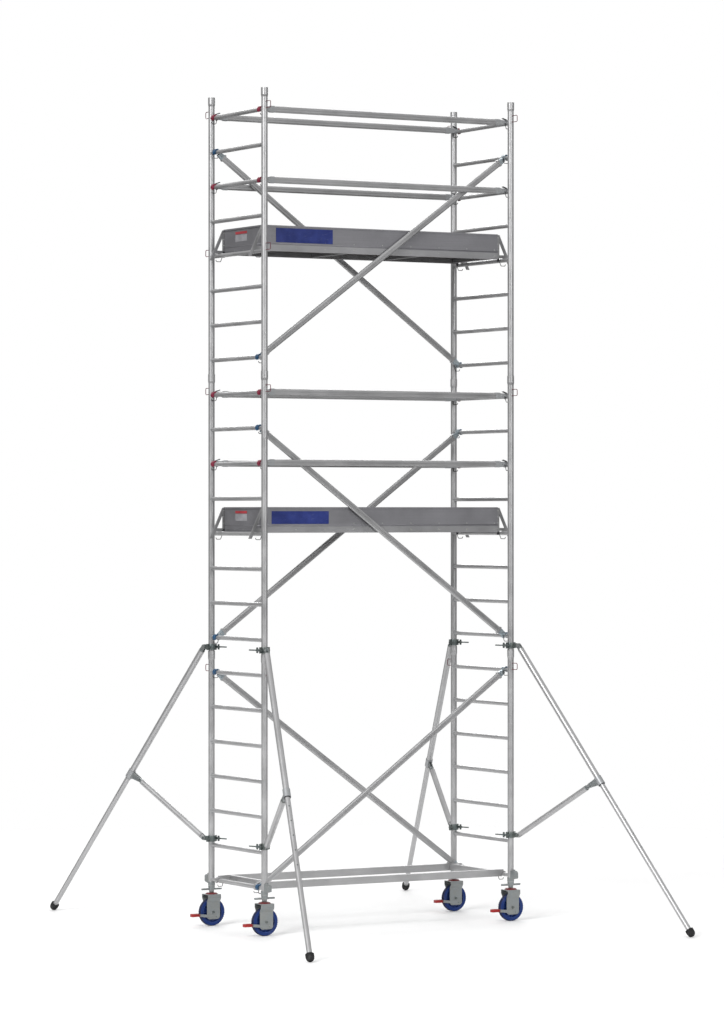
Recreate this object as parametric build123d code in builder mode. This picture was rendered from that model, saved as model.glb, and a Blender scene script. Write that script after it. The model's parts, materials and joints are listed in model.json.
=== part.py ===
"""Mobile tower scaffold: three sections of ladder frames on braked casters, two platforms, four outriggers.

Millimetres. X runs along the tower, Y across it, Z up. The origin is on the floor at the tower's centre.
"""

from build123d import *
import math
import os

os.makedirs("parts", exist_ok=True)

# ---------------------------------------------------------------- driving dimensions
tower_length = 2050.0          # between the post axes, along X
tower_width = 800.0            # between the post axes, along Y
rung_pitch = 250.0
first_rung_above_wheel = 135.0 # from the top of the wheel
section_rungs = (7, 8, 8)      # rungs in the base, middle and top sections
post_diameter = 45.0
post_wall = 2.0
rung_diameter = 30.0
rung_wall = 2.0
wheel_diameter = 200.0
wheel_width = 40.0
platform_rungs = (10, 18)
guardrail_rungs = (12, 14, 20, 22)

# fits between pieces
running_gap = 0.3              # between pieces that turn or slide on each other
socket_gap = 0.9               # radial, between a post and the socket it stands in
hook_gap = 0.3                 # between a claw and the rung it sits on
telescope_gap = 0.5            # radial, between the two outrigger tubes
open_pivot_gap = 2.5           # radial, strut eye on the lower coupler's pin

# posts, sockets, joint tubes
post_below_first_rung = 48.0
socket_above_rung = 150.0
socket_seat = 50.0
socket_taper = 15.0
spigot_wall = 2.5
spigot_below_seat = 135.0
spigot_above_seat = 45.0

# locking clips
clip_wire = 5.2
clip_hole = 6.0
clip_above_rung = 5.0
clip_height = 46.0
clip_reach = 70.0              # outside the post
clip_bend = 11.0
spare_clip_rung = 18
spare_clip_side = "left"

# casters
stem_diameter = 28.0
stem_above_foot = 413.0        # its top, above the foot of the post
guide_height = 40.0
nut_lip = 2.0                  # the nut's top, outside the post
nut_bottom_radius = 16.5
nut_depth = 45.0               # below the foot of the post
nut_cone_depth = 6.0
nut_collar_height = 10.0
nut_bar_length = 160.0
nut_bar_diameter = 14.0
nut_bar_depth = 22.0
sheet = 3.5                    # thickness of the folded fork
crown_above_wheel = 29.0
crown_width = 98.0
fork_length = 105.0
fork_leg_gap = 7.0             # between the wheel's side and the fork leg
fork_leg_below_axle = 51.0
cap_radius = 45.5
cap_height = 11.0
axle_diameter = 12.0
rim_radius_share = 0.8
hub_radius = 26.0
web_thickness = 10.0
brake_pivot_x = 20.0
brake_pivot_below_axle = 34.0
brake_pin_diameter = 8.0
brake_arm_height = 20.0
brake_arm_sheet = 3.0
pedal_length = 60.0
pedal_width = 42.0
pedal_height = 20.0
pedal_clearance = 4.0          # between the brake bracket and the tread
pedal_below_axle = 20.0

# stem locks on the feet of the posts
lock_reach = 80.0
lock_width = 30.0
lock_above_foot = 14.0
lock_height = 68.0

# outriggers: s is the distance from the post axis in the outrigger's own vertical plane
outrigger_yaw = 18.0           # degrees between the outrigger's plane and the Y axis
coupler_wall = 6.0
coupler_height = 44.0
coupler_ear = 75.0
upper_coupler_above_socket = 30.0  # from the top of the base section's socket
lower_coupler_above_rung = 45.0    # from the second rung's axis
ear_thickness = 12.0
ear_radius = 17.0
pin_diameter = 12.0
cheek_thickness = 5.0
leg_diameter = 44.0
leg_wall = 2.5
leg_tube_end = 1250.0          # along the leg, from the top pivot
inner_tube_start = 650.0
inner_tube_wall = 2.5
foot_radius = 29.0
foot_height = 26.0             # of the straight part, above the dome
foot_reach = 1650.0            # from the post axis to the foot's centre
bracket_along = 1216.0
bracket_length = 66.0
bracket_wall = 4.5
strut_pivot_along = 1191.0
strut_pivot_offset = 95.0
strut_diameter = 40.0
strut_wall = 2.5
end_fitting = 38.0             # from a pivot to where its tube starts
plug_length = 40.0
bolt_yaw = 20.0                # degrees between a coupler's bolt and the Y axis
bolt_outside_ring = 9.2        # from the coupler's ring to the bolt's axis
clamp_lip = 6.5
clamp_split = 2.0              # between the two halves of a coupler
bolt_reach = 110.0
bolt_diameter = 10.0

# guardrails and braces
rail_height = 45.0
rail_depth = 22.0
rail_bore = 15.0
rail_groove = 6.0
rail_above_rung = 5.0
guardrail_from_post = 27.5     # from the post's skin to the guardrail's plane
brace_from_guardrail = 27.0
guardrail_end_gap = 90.0       # from the rung axis to the rail's end
brace_end_gap = 62.0
brace_fitting = 14.0
claw_wall = 9.0
claw_width = 36.0
latch_wire = 5.0
latch_gap = 0.2

# base chassis and platforms
chassis_from_post = 87.5       # from the post's skin to the rail's middle
chassis_rail_width = 28.0
chassis_rail_height = 50.0
chassis_above_rung = 10.0      # from the rung axis to the rail's middle
platform_end_gap = 50.0        # from the rung axis to the platform's end
cross_member_inset = 50.0
platform_from_post = 77.5      # from the post's skin to the platform's outer face
platform_rail_width = 28.0
platform_rail_height = 45.0
platform_above_rung = 7.0
deck_thickness = 10.0
member_width = 40.0
member_height = 30.0
hatch_end_inset = 115.0
hatch_length = 600.0
hatch_width = 430.0
hatch_gap = 2.0
hinge_radius = 6.0
hinge_pin = 6.0
hinge_knuckle = 40.0
hinge_leaf = 30.0
hinge_inset = 120.0
toe_board_height = 138.0
toe_board_thickness = 4.0
toe_bead = 12.0
bracket_sheet = 8.0
bracket_foot_out = 59.0        # the slanted arm's foot, outside the rung axis
bracket_foot_down = 35.0
bracket_arm = 23.0

# ---------------------------------------------------------------- derived values
post_radius = post_diameter / 2
post_bore = post_radius - post_wall
socket_bore = post_radius + socket_gap
socket_radius = socket_bore + post_wall
rung_radius = rung_diameter / 2
half_length = tower_length / 2
half_width = tower_width / 2
first_rung_z = wheel_diameter + first_rung_above_wheel
post_foot_z = first_rung_z - post_below_first_rung
wheel_radius = wheel_diameter / 2
stem_top_z = post_foot_z + stem_above_foot
nut_top_radius = post_radius + nut_lip
nut_bottom_z = post_foot_z - nut_depth
nut_cone_top_z = post_foot_z - nut_cone_depth
nut_bar_z = post_foot_z - nut_bar_depth
fork_leg_bottom_z = wheel_radius - fork_leg_below_axle
brake_pivot_z = wheel_radius - brake_pivot_below_axle
pedal_z = wheel_radius - pedal_below_axle
lock_bottom_z = post_foot_z + lock_above_foot
lock_top_z = lock_bottom_z + lock_height
guardrail_y_inset = post_radius + guardrail_from_post  # these four are from the post axis
brace_y_inset = guardrail_y_inset + brace_from_guardrail
chassis_y_inset = post_radius + chassis_from_post
platform_y_inset = post_radius + platform_from_post
crown_top_z = wheel_diameter + crown_above_wheel
corners = {"front_left": (-1, -1), "front_right": (1, -1), "back_left": (-1, 1), "back_right": (1, 1)}
sides = {"left": -1, "right": 1}


def rung_z(index):
    """Height of a rung's axis, counted from 0 at the base."""
    return first_rung_z + rung_pitch * index


first_rungs = [sum(section_rungs[:i]) for i in range(len(section_rungs))]
last_rungs = [first + count - 1 for first, count in zip(first_rungs, section_rungs)]
section_tops = [rung_z(last) + socket_above_rung for last in last_rungs]
section_feet = [post_foot_z] + [top - socket_seat for top in section_tops[:-1]]
upper_coupler_z = section_tops[0] + upper_coupler_above_socket
lower_coupler_z = rung_z(1) + lower_coupler_above_rung


def write(name, pieces):
    """Write a sub-part made of separate solids to its own STEP file."""
    solids = [solid for piece in pieces for solid in piece.solids()]
    group = Compound(solids)
    group.label = name
    export_step(group, f"parts/{name}.step")


def tube(start, direction, radius, bore, length):
    """A round tube, or a rod when bore is 0."""
    with BuildPart() as piece:
        with BuildSketch(Plane(origin=start, z_dir=direction)):
            Circle(radius)
            if bore > 0:
                Circle(bore, mode=Mode.SUBTRACT)
        extrude(amount=length)
    return piece.part


def at_corner(corner, z=0.0):
    """Location of a corner post's axis at height z."""
    sx, sy = corners[corner]
    return Location((sx * half_length, sy * half_width, z))


# ---------------------------------------------------------------- ladder frames
def clip_heights(rung):
    """Heights of the two legs of a locking clip above a rung."""
    low = rung_z(rung) + clip_above_rung
    return (low, low + clip_height)


def make_post(foot_z, top_z, holes):
    """A post with an expanded socket at its top and clip holes through its -Y wall."""
    socket_z = top_z - socket_seat
    with BuildPart() as post:
        with BuildSketch(Plane.XZ):
            with BuildLine():
                Polyline(
                    (post_bore, foot_z),
                    (post_radius, foot_z),
                    (post_radius, socket_z - socket_taper),
                    (socket_radius, socket_z),
                    (socket_radius, top_z),
                    (socket_bore, top_z),
                    (socket_bore, socket_z),
                    (post_bore, socket_z - socket_taper),
                    close=True,
                )
            make_face()
        revolve(axis=Axis.Z)
        for hole_z in holes:
            with BuildSketch(Plane(origin=(0, 0, hole_z), x_dir=(1, 0, 0), z_dir=(0, -1, 0))):
                Circle(clip_hole / 2)
            extrude(amount=socket_radius, mode=Mode.SUBTRACT)
    return post.part


def make_spigot(seat_z, holes):
    """The joint tube fixed in a post's foot, which reaches down into the post below."""
    radius = post_bore - running_gap
    with BuildPart() as spigot:
        with BuildSketch(Plane.XY.offset(seat_z - spigot_below_seat)):
            Circle(radius)
            Circle(radius - spigot_wall, mode=Mode.SUBTRACT)
        extrude(amount=spigot_below_seat + spigot_above_seat)
        for hole_z in holes:
            with BuildSketch(Plane(origin=(0, 0, hole_z), x_dir=(1, 0, 0), z_dir=(0, -1, 0))):
                Circle(clip_hole / 2)
            extrude(amount=post_radius, mode=Mode.SUBTRACT)
    return spigot.part


def make_rung():
    """A rung between the two posts of a frame, its ends cut to fit round them."""
    with BuildPart() as rung:
        with BuildSketch(Plane.XZ.offset(-half_width)):
            Circle(rung_radius)
            Circle(rung_radius - rung_wall, mode=Mode.SUBTRACT)
        extrude(amount=tower_width)
        with BuildSketch(Plane.XY.offset(-rung_diameter)):
            with Locations((0, half_width), (0, -half_width)):
                Circle(post_radius)
        extrude(amount=2 * rung_diameter, mode=Mode.SUBTRACT)
    return rung.part


rung = make_rung()


def ladder_frame(i, side):
    """The posts, rungs and joint tubes of one ladder frame, at x = 0."""
    holes = list(clip_heights(last_rungs[i]))
    if side == spare_clip_side and first_rungs[i] <= spare_clip_rung < last_rungs[i]:
        holes += clip_heights(spare_clip_rung)
    uprights = [make_post(section_feet[i], section_tops[i], holes)]
    if i > 0:
        uprights.append(make_spigot(section_feet[i], clip_heights(last_rungs[i - 1])))
    pieces = [upright.moved(Location((0, -half_width, 0))) for upright in uprights]
    pieces += [upright.moved(Location((0, half_width, 0), (0, 0, 180))) for upright in uprights]
    pieces += [rung.moved(Location((0, 0, rung_z(k)))) for k in range(first_rungs[i], last_rungs[i] + 1)]
    return pieces


for i, section in enumerate(("base", "middle", "top")):
    for side, sx in sides.items():
        frame_pieces = ladder_frame(i, side)
        name = f"{section}_frame_{side}"
        write(name, [piece.moved(Location((sx * half_length, 0, 0))) for piece in frame_pieces])

# ---------------------------------------------------------------- locking clips
clip_start = post_bore - running_gap - spigot_wall - clip_wire
clip_end = post_radius + clip_reach - clip_wire / 2
with BuildPart() as clip:
    with BuildLine(Plane.XZ) as clip_path:
        FilletPolyline(
            (clip_start, 0), (clip_end, 0), (clip_end, clip_height), (clip_start, clip_height), radius=clip_bend
        )
    with BuildSketch(Plane(origin=(clip_start, 0, 0), z_dir=(1, 0, 0))):
        Circle(clip_wire / 2)
    sweep(path=clip_path.line)
clips = []
for corner, (sx, sy) in corners.items():
    clip_rungs = list(last_rungs) + ([spare_clip_rung] if sx == sides[spare_clip_side] else [])
    for k in clip_rungs:
        place = Plane(
            origin=(sx * half_length, sy * half_width, clip_heights(k)[0]), x_dir=(0, sy, 0), z_dir=(0, 0, 1)
        )
        clips.append(clip.part.moved(place.location))
write("locking_clips", clips)

# ---------------------------------------------------------------- stem locks
lock_points = [
    (0.0, lock_bottom_z),
    (lock_reach, lock_bottom_z + 14.0),
    (lock_reach, lock_top_z - 12.0),
    (lock_reach - 20.0, lock_top_z),
    (0.0, lock_top_z),
]
with BuildPart() as stem_lock:
    with BuildSketch(Plane.XZ):
        with BuildLine():
            Polyline(*lock_points, close=True)
        make_face()
    extrude(amount=lock_width / 2, both=True)
    fillet(stem_lock.edges().filter_by(Axis.Y).sort_by(Axis.X)[-2:], 6.0)
    with BuildSketch(Plane.XY.offset(post_foot_z + 3.0)):
        Circle(post_radius + 3.0)
    extrude(amount=first_rung_z - rung_radius - 1.0 - post_foot_z - 3.0)
    with BuildSketch(Plane.XY.offset(lock_top_z)):
        with Locations((lock_reach - 34.0, 0)):
            RegularPolygon(9.0, 6)
    extrude(amount=9.0)
    with BuildSketch(Plane.XY.offset(post_foot_z - 1.0)):
        Circle(post_radius)
    extrude(amount=lock_top_z, mode=Mode.SUBTRACT)
locks = []
for sx, sy in corners.values():
    place = Plane(origin=(sx * half_length, sy * half_width, 0), x_dir=(0, sy, 0), z_dir=(0, 0, 1))
    locks.append(stem_lock.part.moved(place.location))
write("stem_locks", locks)

# ---------------------------------------------------------------- casters
stem_radius = stem_diameter / 2
crown_underside_z = crown_top_z - sheet
cap_top_z = crown_top_z + cap_height
leg_inner = wheel_width / 2 + fork_leg_gap
leg_outer = leg_inner + sheet
flange_z = wheel_diameter + 14.0


def make_stem():
    """The jack stem: a threaded rod with a flange under the fork's crown."""
    with BuildPart() as stem:
        with BuildSketch(Plane.XZ):
            with BuildLine():
                Polyline(
                    (0, flange_z),
                    (25.0, flange_z),
                    (25.0, crown_underside_z - running_gap),
                    (stem_radius, crown_underside_z - running_gap),
                    (stem_radius, stem_top_z),
                    (0, stem_top_z),
                    close=True,
                )
            make_face()
        revolve(axis=Axis.Z)
    return stem.part


def make_nut():
    """The conical jack nut with its crossbar."""
    top_z = post_foot_z - running_gap
    with BuildPart() as nut:
        with BuildSketch(Plane.XZ):
            with BuildLine():
                Polyline(
                    (0, nut_bottom_z),
                    (nut_bottom_radius, nut_bottom_z),
                    (nut_top_radius, nut_cone_top_z),
                    (nut_top_radius, top_z),
                    (post_bore - running_gap, top_z),
                    (post_bore - running_gap, top_z + nut_collar_height),
                    (0, top_z + nut_collar_height),
                    close=True,
                )
            make_face()
        revolve(axis=Axis.Z)
        with BuildSketch(Plane.YZ.offset(-nut_bar_length / 2)):
            with Locations((0, nut_bar_z)):
                Circle(nut_bar_diameter / 2)
        extrude(amount=nut_bar_length)
        with BuildSketch(Plane.XY.offset(nut_bottom_z - 1.0)):
            Circle(stem_radius + running_gap)
        extrude(amount=top_z - nut_bottom_z + nut_collar_height + 2.0, mode=Mode.SUBTRACT)
    return nut.part


def make_fork():
    """The folded fork: a box crown that narrows to two legs beside the wheel."""
    half_crown = crown_width / 2
    shoulder_z = wheel_diameter
    waist_z = wheel_diameter - 27.0
    slope = sheet * 0.8
    with BuildPart() as fork:
        with BuildSketch(Plane.YZ.offset(-fork_length / 2)):
            with BuildLine():
                Polyline(
                    (-leg_outer, fork_leg_bottom_z),
                    (-leg_outer, waist_z),
                    (-half_crown, shoulder_z),
                    (-half_crown, crown_top_z),
                    (half_crown, crown_top_z),
                    (half_crown, shoulder_z),
                    (leg_outer, waist_z),
                    (leg_outer, fork_leg_bottom_z),
                    (leg_inner, fork_leg_bottom_z),
                    (leg_inner, waist_z + slope),
                    (half_crown - sheet, shoulder_z + slope),
                    (half_crown - sheet, crown_underside_z),
                    (-half_crown + sheet, crown_underside_z),
                    (-half_crown + sheet, shoulder_z + slope),
                    (-leg_inner, waist_z + slope),
                    (-leg_inner, fork_leg_bottom_z),
                    close=True,
                )
            make_face()
        extrude(amount=fork_length)
        fillet(fork.edges().filter_by(Axis.Y).group_by(Axis.Z)[0], 24.0)
        with BuildSketch(Plane.XY.offset(crown_underside_z - 1.0)):
            Circle(stem_radius + running_gap)
        extrude(amount=sheet + 2.0, mode=Mode.SUBTRACT)
        with BuildSketch(Plane.XZ.offset(-half_crown)):
            with Locations((0, wheel_radius)):
                Circle(axle_diameter / 2)
            with Locations((brake_pivot_x, brake_pivot_z)):
                Circle(brake_pin_diameter / 2)
        extrude(amount=crown_width, mode=Mode.SUBTRACT)
    return fork.part


def make_bearing_cap():
    """The domed cover of the swivel bearing, on top of the crown."""
    with BuildPart() as cap:
        with BuildSketch(Plane.XZ):
            with BuildLine():
                inner = stem_radius + running_gap
                Polyline((cap_radius, crown_top_z), (inner, crown_top_z), (inner, cap_top_z))
                Line((inner, cap_top_z), (cap_radius - 22.0, cap_top_z))
                ThreePointArc(
                    (cap_radius - 22.0, cap_top_z), (cap_radius - 6.5, cap_top_z - 3.4), (cap_radius, crown_top_z)
                )
            make_face()
        revolve(axis=Axis.Z)
    return cap.part


def make_axle():
    """The axle bolt with its hexagon head and nut outside the fork's legs."""
    with BuildPart() as axle:
        with BuildSketch(Plane.XZ.offset(-leg_outer - 10.0)):
            with Locations((0, wheel_radius)):
                Circle(axle_diameter / 2)
        extrude(amount=2 * leg_outer + 20.0)
        for start in (-leg_outer - 8.0, leg_outer):
            with BuildSketch(Plane.XZ.offset(start)):
                with Locations((0, wheel_radius)):
                    RegularPolygon(10.0, 6)
            extrude(amount=8.0)
    return axle.part


def make_brake_pins():
    """The two stub pins that the brake bracket turns on."""
    length = sheet + running_gap + brake_arm_sheet + 2.0
    return [
        tube((brake_pivot_x, sy * leg_inner, brake_pivot_z), (0, sy, 0), brake_pin_diameter / 2, 0, length)
        for sy in (-1, 1)
    ]


def make_rim():
    """The wheel's centre: rim, web and hub."""
    rim_radius = wheel_radius * rim_radius_share
    with BuildPart() as rim:
        with BuildSketch(Plane.XZ.offset(-web_thickness / 2)):
            with Locations((0, wheel_radius)):
                Circle(rim_radius)
        extrude(amount=web_thickness)
        with BuildSketch(Plane.XZ.offset(-wheel_width / 2 + 2.0)):
            with Locations((0, wheel_radius)):
                Circle(rim_radius)
                Circle(rim_radius - 8.0, mode=Mode.SUBTRACT)
        extrude(amount=wheel_width - 4.0)
        with BuildSketch(Plane.XZ.offset(-leg_inner + 1.0)):
            with Locations((0, wheel_radius)):
                Circle(hub_radius)
        extrude(amount=2 * leg_inner - 2.0)
        with BuildSketch(Plane.XZ.offset(-leg_inner)):
            with Locations((0, wheel_radius)):
                Circle(axle_diameter / 2 + running_gap)
        extrude(amount=2 * leg_inner, mode=Mode.SUBTRACT)
    return rim.part


def make_tyre():
    """The tread band round the rim."""
    with BuildPart() as tyre:
        with BuildSketch(Plane.XZ.offset(-wheel_width / 2)):
            with Locations((0, wheel_radius)):
                Circle(wheel_radius)
                Circle(wheel_radius * rim_radius_share, mode=Mode.SUBTRACT)
        extrude(amount=wheel_width)
        outer = tyre.edges().filter_by(GeomType.CIRCLE).group_by(SortBy.RADIUS)[-1]
        fillet(outer, 6.0)
    return tyre.part


def make_pedal():
    """The brake: a U-shaped bracket beside the wheel, and the pedal that a foot presses."""
    arm_inner = leg_outer + running_gap
    arm_outer = arm_inner + brake_arm_sheet
    web_x = -wheel_radius - pedal_clearance
    half_arm = brake_arm_height / 2
    with BuildPart() as bracket:
        with BuildSketch(Plane.XZ.offset(-arm_outer)):
            with Locations((brake_pivot_x, brake_pivot_z)):
                Circle(half_arm)
            with BuildLine():
                Polyline(
                    (brake_pivot_x, brake_pivot_z + half_arm),
                    (brake_pivot_x, brake_pivot_z - half_arm),
                    (web_x - brake_arm_sheet, pedal_z - half_arm),
                    (web_x - brake_arm_sheet, pedal_z + half_arm),
                    close=True,
                )
            make_face()
        extrude(amount=2 * arm_outer)
        with BuildSketch(Plane.XY.offset(brake_pivot_z - half_arm - 1.0)):
            with Locations(((web_x + brake_pivot_x + half_arm + 1.0) / 2, 0)):
                Rectangle(brake_pivot_x + half_arm + 1.0 - web_x, 2 * arm_inner)
        extrude(amount=2 * brake_arm_height, mode=Mode.SUBTRACT)
        with BuildSketch(Plane.XZ.offset(-arm_outer)):
            with Locations((brake_pivot_x, brake_pivot_z)):
                Circle(brake_pin_diameter / 2 + running_gap)
        extrude(amount=2 * arm_outer, mode=Mode.SUBTRACT)
    with BuildPart() as pad:
        with BuildSketch(Plane.XY.offset(pedal_z - pedal_height / 2)):
            with Locations((web_x - brake_arm_sheet - pedal_length / 2, 0)):
                Rectangle(pedal_length, pedal_width)
        extrude(amount=pedal_height)
        fillet(pad.edges().filter_by(Axis.Z).group_by(Axis.X)[0], 9.0)
        fillet(pad.faces().sort_by(Axis.Z)[-1].edges(), 3.0)
    return [bracket.part, pad.part]


caster_stem = [
    make_stem(),
    tube((0, 0, stem_top_z - guide_height), (0, 0, 1), post_bore - running_gap, stem_radius, guide_height),
]
caster_nodes = {
    "jack_nut": [make_nut()],
    "caster_stem": caster_stem,
    "caster_fork": [make_fork(), make_bearing_cap(), make_axle()] + make_brake_pins(),
    "caster_wheel": [make_rim(), make_tyre()],
    "brake_pedal": make_pedal(),
}
for corner in corners:
    for node, pieces in caster_nodes.items():
        write(f"{node}_{corner}", [piece.moved(at_corner(corner)) for piece in pieces])

# ---------------------------------------------------------------- outriggers
ring_bore = post_radius + running_gap
ring_radius = ring_bore + coupler_wall
bolt_offset = ring_radius + bolt_outside_ring
half_ear = ear_thickness / 2
cheek_inner = half_ear + running_gap
cheek_outer = cheek_inner + cheek_thickness
leg_radius = leg_diameter / 2
leg_bore = leg_radius - leg_wall
strut_radius = strut_diameter / 2
strut_bore = strut_radius - strut_wall
leg_rise = upper_coupler_z - foot_radius
leg_run = foot_reach - coupler_ear
leg_length = math.hypot(leg_rise, leg_run)
leg_sin = leg_run / leg_length
leg_cos = leg_rise / leg_length
leg_dir = Vector(leg_sin, 0, -leg_cos)
leg_side = Vector(-leg_cos, 0, -leg_sin)
top_pivot = Vector(coupler_ear, 0, upper_coupler_z)
foot_pivot = Vector(coupler_ear, 0, lower_coupler_z)
strut_pivot = top_pivot + leg_dir * strut_pivot_along + leg_side * strut_pivot_offset
strut_span = strut_pivot - foot_pivot
strut_length = strut_span.length
strut_dir = strut_span.normalized()
leg_plane = Plane(origin=top_pivot, x_dir=leg_dir, z_dir=(0, 1, 0))
strut_plane = Plane(origin=foot_pivot, x_dir=strut_dir, z_dir=(0, 1, 0))


def make_coupler(height, bolt_angle, ear_hole):
    """A two-part clamp round the post, with an ear for the outrigger and a wing-nut bolt."""
    low = height - coupler_height / 2
    other_half = 4 * bolt_offset
    bolt_plane = Plane(origin=(0, 0, low), x_dir=Vector(1, 0, 0).rotate(Axis.Z, bolt_angle), z_dir=(0, 0, 1))
    halves = []
    for half in (-1, 1):
        with BuildPart() as shell:
            with BuildSketch(bolt_plane):
                Circle(ring_radius)
                with Locations((half * (clamp_split + clamp_lip) / 2, 0)):
                    Rectangle(clamp_lip, 2 * (bolt_offset + bolt_diameter + 1.0))
                with Locations((-half * (other_half - clamp_split) / 2, 0)):
                    Rectangle(other_half, other_half, mode=Mode.SUBTRACT)
            extrude(amount=coupler_height)
            if half < 0:
                with BuildSketch(Plane.XZ.offset(-half_ear)):
                    with Locations((coupler_ear, height)):
                        Circle(ear_radius)
                    with Locations((coupler_ear / 2, height)):
                        Rectangle(coupler_ear, 2 * ear_radius)
                extrude(amount=ear_thickness)
                with BuildSketch(Plane.XZ.offset(-half_ear)):
                    with Locations((coupler_ear, height)):
                        Circle(ear_hole)
                extrude(amount=ear_thickness, mode=Mode.SUBTRACT)
            with BuildSketch(bolt_plane.offset(-1.0)):
                Circle(ring_bore)
            extrude(amount=coupler_height + 2.0, mode=Mode.SUBTRACT)
            for offset in (bolt_offset, -bolt_offset):
                hole_plane = Plane(
                    origin=bolt_plane.from_local_coords((-10.0, offset, coupler_height / 2)),
                    z_dir=bolt_plane.x_dir,
                )
                with BuildSketch(hole_plane):
                    Circle(bolt_diameter / 2)
                extrude(amount=20.0, mode=Mode.SUBTRACT)
        halves.append(shell.part)
    hardware = []
    for offset, start, length in ((bolt_offset, -16.0, bolt_reach + 16.0), (-bolt_offset, -16.0, 32.0)):
        middle = bolt_plane.from_local_coords((start, offset, coupler_height / 2))
        hardware.append(tube(middle, bolt_plane.x_dir, bolt_diameter / 2, 0, length))
    wing_plane = Plane(
        origin=bolt_plane.from_local_coords((7.5, bolt_offset, coupler_height / 2)),
        x_dir=(0, 0, 1),
        z_dir=bolt_plane.x_dir,
    )
    with BuildPart() as wing_nut:
        with BuildSketch(wing_plane):
            Circle(9.0)
        extrude(amount=34.0)
        with BuildSketch(wing_plane.offset(20.0)):
            SlotOverall(40.0, 6.0)
        extrude(amount=14.0)
        with BuildSketch(wing_plane):
            Circle(bolt_diameter / 2)
        extrude(amount=34.0, mode=Mode.SUBTRACT)
    return halves + hardware + [wing_nut.part]


def make_end_fork(plane, direction, bore, shoulder, hole):
    """A forked tube end: two cheeks round a pivot, and a plug that fits in the tube."""
    with BuildPart() as end:
        with BuildSketch(plane.offset(-cheek_outer)):
            Circle(ear_radius - 1.0)
            with Locations((direction * end_fitting / 2, 0)):
                Rectangle(end_fitting, 2 * (ear_radius - 1.0))
        extrude(amount=2 * cheek_outer)
        with BuildSketch(plane.offset(-cheek_inner)):
            with Locations((direction * (end_fitting - 8.0) / 2 - direction * ear_radius / 2, 0)):
                Rectangle(end_fitting - 8.0 + ear_radius, 2 * ear_radius)
        extrude(amount=2 * cheek_inner, mode=Mode.SUBTRACT)
        with BuildSketch(plane.offset(-cheek_outer)):
            Circle(hole)
        extrude(amount=2 * cheek_outer, mode=Mode.SUBTRACT)
        along = plane.x_dir * direction
        with BuildSketch(Plane(origin=plane.origin + along * (end_fitting - 6.0), z_dir=along)):
            Circle(shoulder)
        extrude(amount=6.0)
        with BuildSketch(Plane(origin=plane.origin + along * end_fitting, z_dir=along)):
            Circle(bore)
        extrude(amount=plug_length)
    return end.part


def make_end_tongue(pivot, direction, bore, shoulder, hole):
    """A flat tube end with one eye, and a plug that fits in the tube."""
    plane = Plane(origin=pivot, x_dir=direction, z_dir=(0, 1, 0))
    with BuildPart() as end:
        with BuildSketch(plane.offset(-half_ear)):
            Circle(ear_radius - 3.0)
            with Locations((end_fitting / 2, 0)):
                Rectangle(end_fitting, 2 * (ear_radius - 3.0))
            Circle(hole, mode=Mode.SUBTRACT)
        extrude(amount=ear_thickness)
        with BuildSketch(Plane(origin=pivot + direction * (end_fitting - 6.0), z_dir=direction)):
            Circle(shoulder)
        extrude(amount=6.0)
        with BuildSketch(Plane(origin=pivot + direction * end_fitting, z_dir=direction)):
            Circle(bore)
        extrude(amount=plug_length)
    return end.part


def make_pin(pivot, radius):
    """A headed pin across the outrigger's plane."""
    with BuildPart() as pin:
        with BuildSketch(Plane(origin=pivot - Vector(0, cheek_outer + 5.0, 0), z_dir=(0, 1, 0))):
            Circle(radius)
        extrude(amount=2 * (cheek_outer + 5.0))
        for side in (-1, 1):
            head_at = pivot + Vector(0, side * (cheek_outer + running_gap), 0)
            with BuildSketch(Plane(origin=head_at, z_dir=(0, side, 0))):
                Circle(radius + 5.0)
            extrude(amount=4.0)
    return pin.part


def make_mid_bracket():
    """The sleeve on the outer tube, with two cheeks that carry the strut's pivot."""
    half = bracket_length / 2
    with BuildPart() as bracket:
        with BuildSketch(Plane(origin=top_pivot + leg_dir * (bracket_along - half), z_dir=leg_dir)):
            Circle(leg_radius + bracket_wall)
        extrude(amount=bracket_length)
        for start in (-cheek_outer, cheek_inner):
            with BuildSketch(leg_plane.offset(start)):
                with BuildLine():
                    Polyline(
                        (bracket_along - half + 2.0, 0),
                        (bracket_along + half - 2.0, 0),
                        (strut_pivot_along + ear_radius - 1.0, strut_pivot_offset),
                        (strut_pivot_along - ear_radius + 1.0, strut_pivot_offset),
                        close=True,
                    )
                make_face()
                with Locations((strut_pivot_along, strut_pivot_offset)):
                    Circle(ear_radius - 1.0)
                    Circle(pin_diameter / 2 - 1.0, mode=Mode.SUBTRACT)
            extrude(amount=cheek_thickness)
        with BuildSketch(Plane(origin=top_pivot + leg_dir * (bracket_along - half - 1.0), z_dir=leg_dir)):
            Circle(leg_radius)
        extrude(amount=bracket_length + 2.0, mode=Mode.SUBTRACT)
    return bracket.part


def make_foot():
    """The rubber foot: a domed plug on the end of the inner tube."""
    centre = top_pivot + leg_dir * leg_length
    radius = leg_bore - telescope_gap
    with BuildPart() as foot:
        with BuildSketch(Plane(origin=centre - leg_dir * foot_height, z_dir=leg_dir)):
            Circle(foot_radius)
        extrude(amount=foot_height)
        with Locations(centre):
            Sphere(foot_radius)
        with BuildSketch(Plane(origin=centre - leg_dir * (foot_height + foot_radius), z_dir=leg_dir)):
            Circle(radius)
        extrude(amount=foot_height + foot_radius - 6.0, mode=Mode.SUBTRACT)
    return foot.part


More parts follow.
